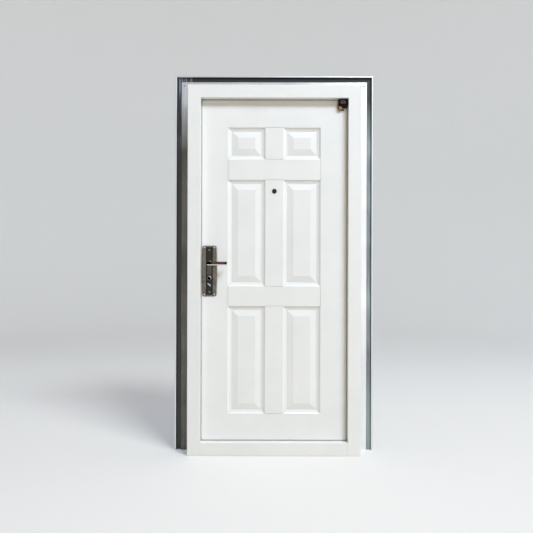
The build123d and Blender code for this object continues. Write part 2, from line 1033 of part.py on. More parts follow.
def outward_rod(x, z, start, end, radius):
    """A bar square to the leaf, from one depth to another in front of its face."""
    return rod((spindle_x + x, -leaf_face - start, z), (spindle_x + x, -leaf_face - end, z), radius)


def plate_outline():
    """A tall plate with gently swollen sides and round corners."""
    w = plate_width / 2
    h = plate_height / 2
    swell = w + plate_bulge
    edges = [
        Line((-w, -h), (w, -h)),
        ThreePointArc((w, -h), (swell, 0), (w, h)),
        Line((w, h), (-w, h)),
        ThreePointArc((-w, h), (-swell, 0), (-w, -h)),
    ]
    face = make_face(edges)
    return fillet(face.vertices(), plate_corner)


def plate_screw_heights():
    return [plate_centre + side * plate_screw_spacing / 2 for side in (-1, 1)]


def furniture_holes(inner):
    """The lever's neck, the plug and the snib's shaft, through a plate and its strip."""
    far = plate_stack + 1
    holes = outward_rod(0, spindle_height, -1, far, neck_radius + running_fit)
    holes += outward_rod(0, cylinder_height, -1, far, plug_radius + running_fit)
    if inner:
        holes += outward_rod(0, snib_height_z, -1, far, snib_shaft_radius + running_fit)
        for z in plate_screw_heights():
            holes += outward_rod(0, z, -1, far, plate_screw_radius)
    return holes


def handle_plate(inner):
    plate = extrude(plate_plane(0) * plate_outline(), amount=plate_thickness)
    plate = chamfer(plate.faces().sort_by(Axis.Y)[0].edges(), plate_chamfer)
    fit = running_fit
    recess = plate_plane(plate_thickness - strip_recess) * Rectangle(
        strip_width + 2 * fit, plate_height - 2 * strip_margin + 2 * fit
    )
    plate -= extrude(recess, amount=strip_recess + 1)
    plate -= furniture_holes(inner)
    if not inner:
        for z in plate_screw_heights():
            plate += outward_rod(0, z, 0, -post_length, post_radius)
            plate -= outward_rod(0, z, -2, -post_length - 1, plate_screw_radius)
    return plate


def plate_strip(inner):
    """The dark strip let into the plate."""
    outline = plate_plane(plate_thickness - strip_recess) * Rectangle(
        strip_width, plate_height - 2 * strip_margin
    )
    strip = extrude(outline, amount=strip_thickness)
    strip = chamfer(strip.faces().sort_by(Axis.Y)[0].edges(), strip_chamfer)
    return strip - furniture_holes(inner)


def button(x, z, depth, radius, height):
    """A low domed head standing on a surface."""
    head = outward_rod(x, z, depth, depth + height, radius)
    return fillet(head.faces().sort_by(Axis.Y)[0].edges(), height * 0.7)


def plate_studs():
    """Four domed studs, one at each corner of the photographed side's plate."""
    across = plate_width / 2 - stud_inset_x
    along = plate_height / 2 - stud_inset_z
    studs = [
        button(x, plate_centre + z, plate_thickness, stud_radius, stud_height)
        for x in (-across, across)
        for z in (-along, along)
    ]
    return studs


def plate_screws():
    """Two screws from the photographed side into the other plate's posts."""
    length = leaf_thickness + plate_stack - plate_screw_stop
    screws = []
    for z in plate_screw_heights():
        head = button(0, z, plate_stack, plate_screw_head, plate_screw_height)
        screws.append(head + outward_rod(0, z, plate_stack, plate_stack - length, plate_screw_radius))
    return Compound(children=screws)


def lever():
    """A straight faceted bar on a round neck, with a square socket for the spindle."""
    back = lever_projection - lever_depth
    neck = outward_rod(0, spindle_height, neck_start, back + 1, neck_radius)
    half = lever_height / 2
    section = Polyline(
        (back, -half),
        (back + lever_depth * 0.35, -half),
        (lever_projection, -half + lever_facet),
        (lever_projection, half - lever_crown),
        (back + lever_depth * 0.65, half),
        (back, half),
        close=True,
    )
    start = -half
    plane = Plane(
        origin=(spindle_x + start, -leaf_face, spindle_height),
        x_dir=(0, -1, 0),
        z_dir=(1, 0, 0),
    )
    bar = extrude(plane * make_face(section), amount=lever_length - start)
    tip = half - lever_taper
    outline = Polyline((0, half), (lever_length, tip), (lever_length, -tip), (0, -half), close=True)
    face = make_face(outline) + Circle(half)
    face = fillet(face.vertices().sort_by(Axis.X)[-2:], lever_taper)
    bar &= extrude(plate_plane(back, spindle_height) * face, amount=lever_depth)
    hole = spindle_size / 2 + running_fit
    socket = box(
        (spindle_x - hole, -leaf_face - socket_depth, spindle_height - hole),
        (spindle_x + hole, -leaf_face, spindle_height + hole),
    )
    return neck + bar - socket


def spindle():
    half = spindle_size / 2
    reach = leaf_face + socket_depth
    return box(
        (spindle_x - half, -reach, spindle_height - half),
        (spindle_x + half, reach, spindle_height + half),
    )


def thumb_turn():
    """The round knob with a dished face, in one piece with its side of the plug."""
    back = plate_stack + turn_gap
    front = back + knob_depth
    rim = knob_radius
    profile = Polyline(
        (0, back),
        (rim - 1.5, back),
        (rim, back + 1.5),
        (rim, front - 4),
        (rim - 2, front),
        (rim - 4.5, front),
        (rim - 8, front - 3.5),
        (0, front - 4),
        close=True,
    )
    plane = Plane(
        origin=(spindle_x, -leaf_face, cylinder_height), x_dir=(1, 0, 0), z_dir=(0, 0, 1)
    )
    outline = plane * mirror(make_face(profile), about=Plane.XZ)
    axis = Axis((spindle_x, 0, cylinder_height), (0, 1, 0))
    knob = revolve(outline, axis=axis, revolution_arc=360)
    return knob + rod(
        (spindle_x, -cam_gap / 2, cylinder_height),
        (spindle_x, -leaf_face - back - 1, cylinder_height),
        plug_radius,
    )


def snib_shaft():
    """The snib's shaft, with the pinion cut on it and a journal at its end."""
    gear = pinion(night_module, night_teeth, snib_height_z, -1)
    side = drive_thickness / 2
    end = leaf_face + plate_stack + snib_height / 2
    shaft = rod((spindle_x, -side, snib_height_z), (spindle_x, -end, snib_height_z), snib_shaft_radius)
    journal = rod(
        (spindle_x, side, snib_height_z),
        (spindle_x, case_thickness / 2, snib_height_z),
        snib_journal,
    )
    return gear + shaft + journal


def snib_knob():
    """A rounded thumb bar, lying at the slant that the photograph shows."""
    back = plate_stack + turn_gap
    outline = Rot(0, 0, -45) * RectangleRounded(snib_length, snib_width, snib_width / 2 - 0.5)
    knob = extrude(plate_plane(back, snib_height_z) * outline, amount=snib_height)
    knob = fillet(knob.faces().sort_by(Axis.Y)[0].edges(), snib_width / 4)
    return knob - outward_rod(
        0, snib_height_z, 0, plate_stack + snib_height / 2, snib_shaft_radius
    )


# Peephole


def peephole_barrel():
    """The tube from the far side, with its flange."""
    z = peephole_height
    flange_end = leaf_face + peephole_flange_thickness
    barrel = rod((0, barrel_end - leaf_face, z), (0, flange_end, z), peephole_radius)
    flange = rod((0, leaf_face, z), (0, flange_end, z), peephole_flange - 1.5)
    flange = chamfer(flange.faces().sort_by(Axis.Y)[-1].edges(), peephole_flange_thickness / 2)
    bore = rod((0, -leaf_face, z), (0, flange_end + 1, z), peephole_bore)
    return barrel + flange - bore


def peephole_eyepiece():
    """The tube from the photographed side, inside the barrel."""
    z = peephole_height
    front = -leaf_face - peephole_flange_thickness
    flange = rod((0, -leaf_face, z), (0, front, z), peephole_flange)
    flange = fillet(flange.faces().sort_by(Axis.Y)[0].edges(), peephole_flange_thickness * 0.6)
    tube = rod((0, -leaf_face, z), (0, -leaf_face + eyepiece_length, z), peephole_bore)
    hole = rod((0, front - 1, z), (0, -leaf_face + eyepiece_length + 1, z), eyepiece_bore)
    return flange + tube - hole


def peephole_lenses():
    """The wide lens at the barrel's flange and the small one in the eyepiece."""
    places = ((leaf_face, peephole_bore), (-leaf_face - lens_recess, eyepiece_bore))
    return [
        rod((0, y, peephole_height), (0, y + lens_thickness, peephole_height), radius)
        for y, radius in places
    ]


# Fitting in the leaf's top corner


def fitting_corner():
    """The fitting's right-hand and top edges, just clear of the frame."""
    return clear_half - fitting_margin, clear_top - fitting_margin


def corner_bracket():
    """A dark cast block with a rib, hollowed at its lower corner for the boss."""
    right, top = fitting_corner()
    left = right - fitting_width
    bottom = top - fitting_height
    block = box((left, -leaf_face - fitting_depth, bottom), (right, -leaf_face, top))
    block = fillet(block.edges().filter_by(Axis.Y), fitting_round)
    front = block.faces().sort_by(Axis.Y)[0]
    block = chamfer(front.edges(), fitting_plate)
    middle = (bottom + top) / 2 - fitting_rib
    rib = box(
        (left + 2 * fitting_round, -leaf_face - fitting_depth - fitting_plate, middle),
        (right - fitting_round, -leaf_face - fitting_depth + 1, middle + fitting_rib),
    )
    block += chamfer(rib.faces().sort_by(Axis.Y)[0].edges(), fitting_plate / 3)
    x, z = fitting_boss_place()
    reach = fitting_depth + 2 * fitting_plate
    return block - rod((x, -leaf_face - reach, z), (x, -leaf_face + 1, z), fitting_boss_radius)


def fitting_boss_place():
    right, top = fitting_corner()
    return right - fitting_width + fitting_boss_radius, top - fitting_height - fitting_boss_drop


def corner_boss():
    """A round brass boss under the block."""
    x, z = fitting_boss_place()
    boss = rod((x, -leaf_face, z), (x, -leaf_face - fitting_boss_depth, z), fitting_boss_radius)
    return fillet(boss.faces().sort_by(Axis.Y)[0].edges(), fitting_boss_radius / 3)


def corner_screw():
    """A dark domed screw beside the boss, in the leaf's face."""
    right, top = fitting_corner()
    x = right - fitting_width / 2 + fitting_plate
    z = top - fitting_height - fitting_screw_drop
    head = rod((x, -leaf_face, z), (x, -leaf_face - fitting_screw_radius, z), fitting_screw_radius)
    return fillet(head.faces().sort_by(Axis.Y)[0].edges(), fitting_screw_radius * 0.7)


# All the pieces, by name


def outer(solid):
    """The same piece on the leaf's other side."""
    return mirror(solid, about=Plane.XZ)


def skins(half):
    sheet = half - half.moved(Location((0, skin_sheet, 0)))
    return sheet - skin_holes(True), outer(sheet - skin_holes(False))


jamb = upright(frame_points())
casing = upright(casing_points())
half = pressed_half()
inner_skin, outer_skin = skins(half)
lock_channel, hinge_channel, bottom_channel, top_channel = edge_channels()
slot = box(
    (-leaf_half - 1, -forend_width / 2, case_centre - forend_height / 2),
    (-leaf_half + channel_sheet + 1, forend_width / 2, case_centre + forend_height / 2),
)

parts = {
    "hinge_jamb": jamb - anchor_holes(1),
    "lock_jamb": lock_jamb(),
    "frame_head": crosspiece(frame_points()),
    "door_sill": sill() - jamb - other_side(jamb),
    "hinge_side_casing": casing - rivets(1),
    "lock_side_casing": other_side(casing) - rivets(-1),
    "top_casing": crosspiece(casing_points()),
    "stop_seal": seal(),
    "casing_rivets": Compound(children=[rivets(-1), rivets(1)]),
    "strike_plate": strike_plate(),
    "strike_screws": Compound(children=strike_screws()),
    "strike_dust_box": dust_box(),
    "inner_skin": inner_skin,
    "outer_skin": outer_skin,
    "lock_stile_channel": lock_channel - slot,
    "hinge_stile_channel": hinge_channel,
    "bottom_rail_channel": bottom_channel,
    "top_rail_channel": top_channel,
    "honeycomb_core": core(half),
    "forend": forend(),
    "forend_screws": Compound(children=forend_screws()),
    "lock_case": lock_case(),
    "lock_cover": lock_cover(),
    "latch_bolt": latch_bolt(),
    "latch_spring": latch_spring(),
    "lock_follower": lock_follower(),
    "deadbolts": deadbolts(),
    "bolt_carriage": bolt_carriage(),
    "night_bolt": night_bolt(),
    "cylinder_body": cylinder_body(),
    "cylinder_cam": cylinder_cam(),
    "cylinder_plug": cylinder_plug(),
    "cylinder_screw": cylinder_screw(),
    "inner_plate": handle_plate(True),
    "inner_strip": plate_strip(True),
    "plate_studs": Compound(children=plate_studs() + [outer(stud) for stud in plate_studs()]),
    "inner_lever": lever(),
    "outer_plate": outer(handle_plate(False)),
    "outer_strip": outer(plate_strip(False)),
    "outer_lever": outer(lever()),
    "spindle": spindle(),
    "plate_screws": plate_screws(),
    "thumb_turn": thumb_turn(),
    "snib_shaft": snib_shaft(),
    "snib_knob": snib_knob(),
    "peephole_barrel": peephole_barrel(),
    "peephole_eyepiece": peephole_eyepiece(),
    "peephole_lenses": Compound(children=peephole_lenses()),
    "corner_bracket": corner_bracket(),
    "corner_boss": corner_boss(),
    "corner_screw": corner_screw(),
}

for place, height in zip(("bottom", "middle", "top"), hinge_heights):
    parts[place + "_hinge_jamb_plate"] = hinge_leaf(height, False)
    parts[place + "_hinge_leaf_plate"] = hinge_leaf(height, True)
    parts[place + "_hinge_pin"] = hinge_pin(height)

os.makedirs("parts", exist_ok=True)
for name, shape in parts.items():
    export_step(shape, "parts/" + name + ".step")
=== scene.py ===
import bpy
import bmesh
from math import pi, radians
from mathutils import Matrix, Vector


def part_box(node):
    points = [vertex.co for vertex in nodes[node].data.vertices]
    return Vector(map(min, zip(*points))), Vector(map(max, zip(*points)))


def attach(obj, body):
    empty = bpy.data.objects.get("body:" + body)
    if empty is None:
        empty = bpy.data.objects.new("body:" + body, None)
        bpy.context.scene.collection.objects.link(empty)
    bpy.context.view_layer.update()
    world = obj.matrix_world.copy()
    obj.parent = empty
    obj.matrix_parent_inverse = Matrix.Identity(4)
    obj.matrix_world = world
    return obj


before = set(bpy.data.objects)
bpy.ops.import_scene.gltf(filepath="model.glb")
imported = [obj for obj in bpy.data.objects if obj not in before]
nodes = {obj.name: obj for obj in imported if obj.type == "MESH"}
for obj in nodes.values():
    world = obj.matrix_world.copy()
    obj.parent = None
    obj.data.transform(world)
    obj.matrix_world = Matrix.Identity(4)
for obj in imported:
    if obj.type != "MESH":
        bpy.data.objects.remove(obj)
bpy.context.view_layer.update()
scene = bpy.context.scene
scene.view_settings.view_transform = "Standard"

# Camera, at the photograph's height and distance, square to the frame
cameraSetup = {"place": (-0.065, -3.071, 1.027), "lens": 36.74, "shift": (0.0075, 0.0066), "roll": 0.15}
cameraData = bpy.data.cameras.new("photoCamera")
cameraData.lens = cameraSetup["lens"]
cameraData.shift_x, cameraData.shift_y = cameraSetup["shift"]
camera = bpy.data.objects.new("photoCamera", cameraData)
camera.location = cameraSetup["place"]
camera.rotation_euler = (pi / 2, -radians(cameraSetup["roll"]), 0)
scene.collection.objects.link(camera)
scene.camera = camera
print("camera placed")


def linearColor(hexText, alpha=1.0):
    # sRGB hex to the linear colour that the shaders take
    channels = [int(hexText[i:i + 2], 16) / 255 for i in (1, 3, 5)]
    linear = [c / 12.92 if c <= 0.04045 else ((c + 0.055) / 1.055) ** 2.4 for c in channels]
    return (*linear, alpha)


def addNode(tree, kind, settings=None, links=None):
    # one node, with its own settings and sockets filled and its inputs linked
    node = tree.nodes.new(kind)
    for name, value in (settings or {}).items():
        if isinstance(name, int) or name in node.inputs:
            node.inputs[name].default_value = value
        else:
            setattr(node, name, value)
    for name, (source, output) in (links or {}).items():
        tree.links.new(source.outputs[output], node.inputs[name])
    return node


def newFinish(name):
    # an empty material with only its output
    material = bpy.data.materials.new(name)
    material.use_nodes = True
    tree = material.node_tree
    tree.nodes.clear()
    return material, tree


def rampStops(node, stops):
    # colour stops of a ramp, as (position, linear colour)
    elements = node.color_ramp.elements
    while len(elements) < len(stops):
        elements.new(0.5)
    for element, (position, color) in zip(elements, stops):
        element.position = position
        element.color = color


# Powder coat: polyester paint baked on sheet steel, smooth with a faint orange peel, half gloss
powderCoat = {
    "color": "#f1f1ef",
    "shade": "#edeeec",
    "roughness": 0.36,
    "peelMm": 2.6,
    "cloudMm": 160,
    "peelDepth": 0.00002,
    "grime": "#c9c5ba",
    "creaseShade": "#7f7359",
    "creaseShadeMm": 11,
}


def makePowderCoat(name, setup, soiledFrom, creaseShadeShare):
    material, tree = newFinish(name)
    place = addNode(tree, "ShaderNodeTexCoord")
    cloud = addNode(tree, "ShaderNodeTexNoise", {"Scale": 1000 / setup["cloudMm"], "Detail": 3.0},
                    {"Vector": (place, "Object")})
    tone = addNode(tree, "ShaderNodeValToRGB", None, {"Fac": (cloud, "Fac")})
    rampStops(tone, [(0.35, linearColor(setup["shade"])), (0.65, linearColor(setup["color"]))])
    axes = addNode(tree, "ShaderNodeSeparateXYZ", None, {"Vector": (place, "Object")})
    # shoe dust fades out over the lowest part
    low = addNode(tree, "ShaderNodeMapRange", {"From Min": soiledFrom, "From Max": 0.0, "To Max": 0.12},
                  {"Value": (axes, "Z")})
    specks = addNode(tree, "ShaderNodeTexNoise", {"Scale": 55.0, "Detail": 6.0, "Roughness": 0.7},
                     {"Vector": (place, "Object")})
    dust = addNode(tree, "ShaderNodeMath", {"operation": "MULTIPLY"},
                   {0: (low, "Result"), 1: (specks, "Fac")})
    color = addNode(tree, "ShaderNodeMix", {"data_type": "RGBA", 7: linearColor(setup["grime"])},
                    {0: (dust, "Value"), 6: (tone, "Color")})
    # painted shade: the colour is pulled towards the crease shade colour where ambient occlusion finds
    # creases of the pressing, corners and the gaps round the leaf
    creaseOcclusion = addNode(tree, "ShaderNodeAmbientOcclusion",
                      {"samples": 8, "Distance": setup["creaseShadeMm"] / 1000})
    depth = addNode(tree, "ShaderNodeMapRange", {"From Min": 0.95, "From Max": 0.55, "To Max": creaseShadeShare},
                    {"Value": (creaseOcclusion, "AO")})
    color = addNode(tree, "ShaderNodeMix", {"data_type": "RGBA", 7: linearColor(setup["creaseShade"])},
                    {0: (depth, "Result"), 6: (color, 2)})
    peel = addNode(tree, "ShaderNodeTexNoise", {"Scale": 1000 / setup["peelMm"], "Detail": 1.5},
                   {"Vector": (place, "Object")})
    bump = addNode(tree, "ShaderNodeBump", {"Strength": 0.25, "Distance": setup["peelDepth"]},
                   {"Height": (peel, "Fac")})
    rough = addNode(tree, "ShaderNodeMapRange",
                    {"To Min": setup["roughness"] - 0.04, "To Max": setup["roughness"] + 0.08},
                    {"Value": (specks, "Fac")})
    paint = addNode(tree, "ShaderNodeBsdfPrincipled", {"IOR": 1.5},
                    {"Base Color": (color, 2), "Roughness": (rough, "Result"), "Normal": (bump, "Normal")})
    addNode(tree, "ShaderNodeOutputMaterial", None, {"Surface": (paint, "BSDF")})
    return material


# Hot-dip galvanised sheet: bare zinc with crystal spangle and rolling streaks
zincSheet = {"bright": "#d3d7db", "dull": "#a6acb1", "roughness": 0.2, "spangleMm": 14, "streakMm": 5}


def makeZincSheet(name, setup):
    material, tree = newFinish(name)
    place = addNode(tree, "ShaderNodeTexCoord")
    spangle = addNode(tree, "ShaderNodeTexVoronoi", {"Scale": 1000 / setup["spangleMm"], "Randomness": 1.0},
                      {"Vector": (place, "Object")})
    grain = addNode(tree, "ShaderNodeSeparateColor", None, {"Color": (spangle, "Color")})
    stretch = addNode(tree, "ShaderNodeMapping", {"Scale": (1.0, 1.0, 0.02)}, {"Vector": (place, "Object")})
    streak = addNode(tree, "ShaderNodeTexNoise", {"Scale": 1000 / setup["streakMm"], "Detail": 4.0},
                     {"Vector": (stretch, "Vector")})
    blend = addNode(tree, "ShaderNodeMath", {"operation": "MULTIPLY_ADD", 1: 0.35},
                    {0: (grain, "Red"), 2: (streak, "Fac")})
    tone = addNode(tree, "ShaderNodeValToRGB", None, {"Fac": (blend, "Value")})
    rampStops(tone, [(0.35, linearColor(setup["dull"])), (0.85, linearColor(setup["bright"]))])
    rough = addNode(tree, "ShaderNodeMapRange",
                    {"To Min": setup["roughness"], "To Max": setup["roughness"] + 0.16},
                    {"Value": (blend, "Value")})
    bump = addNode(tree, "ShaderNodeBump", {"Strength": 0.15, "Distance": 0.0001},
                   {"Height": (streak, "Fac")})
    zinc = addNode(tree, "ShaderNodeBsdfPrincipled", {"Metallic": 1.0},
                   {"Base Color": (tone, "Color"), "Roughness": (rough, "Result"),
                     "Normal": (bump, "Normal")})
    addNode(tree, "ShaderNodeOutputMaterial", None, {"Surface": (zinc, "BSDF")})
    return material


# Casing sheet: zinc with painted reflections and painted shade: the flat is painted near-white towards the
# hinge side and dark on the lock side except near its top, the folded band is painted duller and darker again
# across the top and on the lock side, the lip is cut bright
casingSheet = {
    "flat": "#d2d4da",
    "flatDull": "#b2b5bb",
    "hingeFlatReflection": "#f6f6f6",
    "hingeFlatReflectionDull": "#e4e5e8",
    "darkReflection": "#6f6e69",
    "darkReflectionDull": "#55544f",
    "band": "#9ca8a6",
    "bandDull": "#787c7e",
    "bandPaintedShade": "#454844",
    "blueReflection": "#a9b8c6",
    "darkAbove": (1.72, 2.0),
    "brightTopFrom": (1.7, 1.98),
    "lip": "#dfe2e6",
    "bandStart": 0.5285,
    "lipStart": 0.5555,
    "topOffset": 1.57,
    "roughness": 0.3,
    "streakMm": 7,
}


def makeCasingSheet(name, setup):
    material, tree = newFinish(name)
    place = addNode(tree, "ShaderNodeTexCoord")
    axes = addNode(tree, "ShaderNodeSeparateXYZ", None, {"Vector": (place, "Object")})
    across = addNode(tree, "ShaderNodeMath", {"operation": "ABSOLUTE"}, {0: (axes, "X")})
    above = addNode(tree, "ShaderNodeMath", {"operation": "SUBTRACT", 1: setup["topOffset"]},
                    {0: (axes, "Z")})
    reach = addNode(tree, "ShaderNodeMath", {"operation": "MAXIMUM"},
                    {0: (across, "Value"), 1: (above, "Value")})
    stretch = addNode(tree, "ShaderNodeMapping", {"Scale": (1.0, 1.0, 0.03)}, {"Vector": (place, "Object")})
    streak = addNode(tree, "ShaderNodeTexNoise", {"Scale": 1000 / setup["streakMm"], "Detail": 4.0},
                     {"Vector": (stretch, "Vector")})
    cloud = addNode(tree, "ShaderNodeTexNoise", {"Scale": 3.0, "Detail": 4.0, "Roughness": 0.6},
                    {"Vector": (place, "Object")})
    mottle = addNode(tree, "ShaderNodeMath", {"operation": "MULTIPLY_ADD", 1: 0.5},
                     {0: (streak, "Fac"), 2: (cloud, "Fac")})
    flatPaintedReflection = addNode(tree, "ShaderNodeValToRGB", None, {"Fac": (mottle, "Value")})
    rampStops(flatPaintedReflection, [(0.55, linearColor(setup["flatDull"])), (0.9, linearColor(setup["flat"]))])
    darkReflection = addNode(tree, "ShaderNodeValToRGB", None, {"Fac": (mottle, "Value")})
    rampStops(darkReflection, [(0.55, linearColor(setup["darkReflectionDull"])), (0.9, linearColor(setup["darkReflection"]))])
    # painted reflection: the flat is painted near-white towards the hinge side and greyer towards the lock
    # side
    lockwardMask = addNode(tree, "ShaderNodeMapRange", {"From Min": 0.5, "From Max": 0.1}, {"Value": (axes, "X")})
    hingeSideReflection = addNode(tree, "ShaderNodeValToRGB", None, {"Fac": (mottle, "Value")})
    rampStops(hingeSideReflection, [(0.55, linearColor(setup["hingeFlatReflectionDull"])), (0.9, linearColor(setup["hingeFlatReflection"]))])
    flatPaintedReflection = addNode(tree, "ShaderNodeMix", {"data_type": "RGBA"},
                     {0: (lockwardMask, "Result"), 6: (hingeSideReflection, "Color"), 7: (flatPaintedReflection, "Color")})
    # painted reflection: on the lock side the flat is painted dark, and stays pale only near the top
    brightTopMask = addNode(tree, "ShaderNodeMapRange",
                   {"From Min": setup["brightTopFrom"][0], "From Max": setup["brightTopFrom"][1]},
                   {"Value": (axes, "Z")})
    lockSide = addNode(tree, "ShaderNodeMath", {"operation": "LESS_THAN", 1: -setup["bandStart"] + 0.06},
                       {0: (axes, "X")})
    darkReflectionMask = addNode(tree, "ShaderNodeMath", {"operation": "SUBTRACT", "use_clamp": True},
                     {0: (lockSide, "Value"), 1: (brightTopMask, "Result")})
    flat = addNode(tree, "ShaderNodeMix", {"data_type": "RGBA"},
                   {0: (darkReflectionMask, "Value"), 6: (flatPaintedReflection, 2), 7: (darkReflection, "Color")})
    bandTone = addNode(tree, "ShaderNodeValToRGB", None, {"Fac": (mottle, "Value")})
    rampStops(bandTone, [(0.55, linearColor(setup["bandDull"])), (0.9, linearColor(setup["band"]))])
    # painted shade: the band is painted darker across the top and on the lock side
    upper = addNode(tree, "ShaderNodeMapRange",
                    {"From Min": setup["darkAbove"][0], "From Max": setup["darkAbove"][1]},
                    {"Value": (axes, "Z")})
    bandShadeMask = addNode(tree, "ShaderNodeMath", {"operation": "MAXIMUM"},
                     {0: (lockwardMask, "Result"), 1: (upper, "Result")})
    band = addNode(tree, "ShaderNodeMix", {"data_type": "RGBA", 7: linearColor(setup["bandPaintedShade"])},
                   {0: (bandShadeMask, "Value"), 6: (bandTone, "Color")})
    # painted reflection: a blue streak on the band at the lock side's upper end
    lockTopMask = addNode(tree, "ShaderNodeMath", {"operation": "SUBTRACT", "use_clamp": True},
                       {0: (lockSide, "Value"), 1: (darkReflectionMask, "Value")})
    blueReflectionMask = addNode(tree, "ShaderNodeMapRange", {"From Min": 0.5, "From Max": 0.62, "To Max": 0.8},
                   {"Value": (streak, "Fac")})
    blueReflectionMask = addNode(tree, "ShaderNodeMath", {"operation": "MULTIPLY"},
                   {0: (lockTopMask, "Value"), 1: (blueReflectionMask, "Result")})
    band = addNode(tree, "ShaderNodeMix", {"data_type": "RGBA", 7: linearColor(setup["blueReflection"])},
                   {0: (blueReflectionMask, "Value"), 6: (band, 2)})
    inBand = addNode(tree, "ShaderNodeMapRange",
                     {"From Min": setup["bandStart"] - 0.0008, "From Max": setup["bandStart"] + 0.0008},
                     {"Value": (reach, "Value")})
    onLip = addNode(tree, "ShaderNodeMapRange",
                    {"From Min": setup["lipStart"], "From Max": setup["lipStart"] + 0.0015},
                    {"Value": (reach, "Value")})
    folded = addNode(tree, "ShaderNodeMix", {"data_type": "RGBA"},
                     {0: (inBand, "Result"), 6: (flat, 2), 7: (band, 2)})
    color = addNode(tree, "ShaderNodeMix", {"data_type": "RGBA", 7: linearColor(setup["lip"])},
                    {0: (onLip, "Result"), 6: (folded, 2)})
    rough = addNode(tree, "ShaderNodeMapRange",
                    {"From Min": 0.4, "From Max": 1.1, "To Min": setup["roughness"] + 0.12,
                     "To Max": setup["roughness"]},
                    {"Value": (mottle, "Value")})
    bump = addNode(tree, "ShaderNodeBump", {"Strength": 0.12, "Distance": 0.0001},
                   {"Height": (streak, "Fac")})
    zinc = addNode(tree, "ShaderNodeBsdfPrincipled", {"Metallic": 1.0},
                   {"Base Color": (color, 2), "Roughness": (rough, "Result"), "Normal": (bump, "Normal")})
    addNode(tree, "ShaderNodeOutputMaterial", None, {"Surface": (zinc, "BSDF")})
    return material


# Worked metals: one recipe of brush lines, tarnish and rubbed spots for nickel, brass, bronze and zinc plate
def makeWorkedMetal(name, setup):
    material, tree = newFinish(name)
    place = addNode(tree, "ShaderNodeTexCoord")
    stretch = addNode(tree, "ShaderNodeMapping", {"Scale": setup["brush"]}, {"Vector": (place, "Object")})
    lines = addNode(tree, "ShaderNodeTexNoise", {"Scale": 1000 / setup["brushMm"], "Detail": 3.0},
                    {"Vector": (stretch, "Vector")})
    tarnish = addNode(tree, "ShaderNodeTexNoise",
                      {"Scale": 1000 / setup["tarnishMm"], "Detail": 5.0, "Roughness": 0.6},
                      {"Vector": (place, "Object")})
    tone = addNode(tree, "ShaderNodeValToRGB", None, {"Fac": (tarnish, "Fac")})
    rampStops(tone, [(0.35, linearColor(setup["tarnish"])), (0.62, linearColor(setup["color"]))])
    rough = addNode(tree, "ShaderNodeMapRange",
                    {"To Min": setup["roughness"] - 0.06, "To Max": setup["roughness"] + 0.1},
                    {"Value": (lines, "Fac")})
    bump = addNode(tree, "ShaderNodeBump", {"Strength": 0.2, "Distance": 0.00005},
                   {"Height": (lines, "Fac")})
    metal = addNode(tree, "ShaderNodeBsdfPrincipled", {"Metallic": 1.0},
                    {"Base Color": (tone, "Color"), "Roughness": (rough, "Result"),
                     "Normal": (bump, "Normal")})
    addNode(tree, "ShaderNodeOutputMaterial", None, {"Surface": (metal, "BSDF")})
    return material


# Zinc-plated steel of hinges, lock case, bolts and screws
zincPlate = {"color": "#b4b6b6", "tarnish": "#8f9294", "roughness": 0.32, "brush": (1, 1, 0.1),
             "brushMm": 0.8, "tarnishMm": 12}
# Antiqued nickel of the handle plates, brushed along the plate
antiqueNickel = {"color": "#837e74", "tarnish": "#635f58", "roughness": 0.34, "brush": (1, 1, 0.04),
                 "brushMm": 0.9, "tarnishMm": 16}
# Rose round each lever's neck: the plates' nickel, darker
roseNickel = {"color": "#6f6a60", "tarnish": "#4f4b44", "roughness": 0.34, "brush": (1, 1, 1),
              "brushMm": 0.9, "tarnishMm": 9}
# Bright nickel of the corner studs
brightNickel = {"color": "#f6f3ef", "tarnish": "#cdc9c4", "roughness": 0.22, "brush": (1, 1, 1),
                "brushMm": 0.6, "tarnishMm": 7}
# Cylinder brass
cylinderBrass = {"color": "#c8a664", "tarnish": "#94743c", "roughness": 0.28, "brush": (1, 1, 0.1),
                 "brushMm": 0.7, "tarnishMm": 8}
# Dark patinated bronze of the peephole and the corner fitting
darkBronze = {"color": "#453c3c", "tarnish": "#1d191b", "roughness": 0.36, "brush": (1, 1, 1),
              "brushMm": 0.9, "tarnishMm": 8}

# Tarnished copper of the fitting's boss
copperBoss = {"color": "#b5875a", "tarnish": "#7d5a3c", "roughness": 0.36, "brush": (1, 1, 1),
              "brushMm": 0.9, "tarnishMm": 6}

# Lacquered strip of the handle plate: black at its edges, gunmetal down its middle, with a paler painted
# reflection just below the lever
lacquerStrip = {"edge": "#060606", "middle": "#2d2c26", "paintedReflection": "#7a7062", "reflectionFrom": 1.048,
                "reflectionTo": 1.0,
                "roughness": 0.34, "middleHalfWidth": 0.0135, "hammerMm": 2.6}


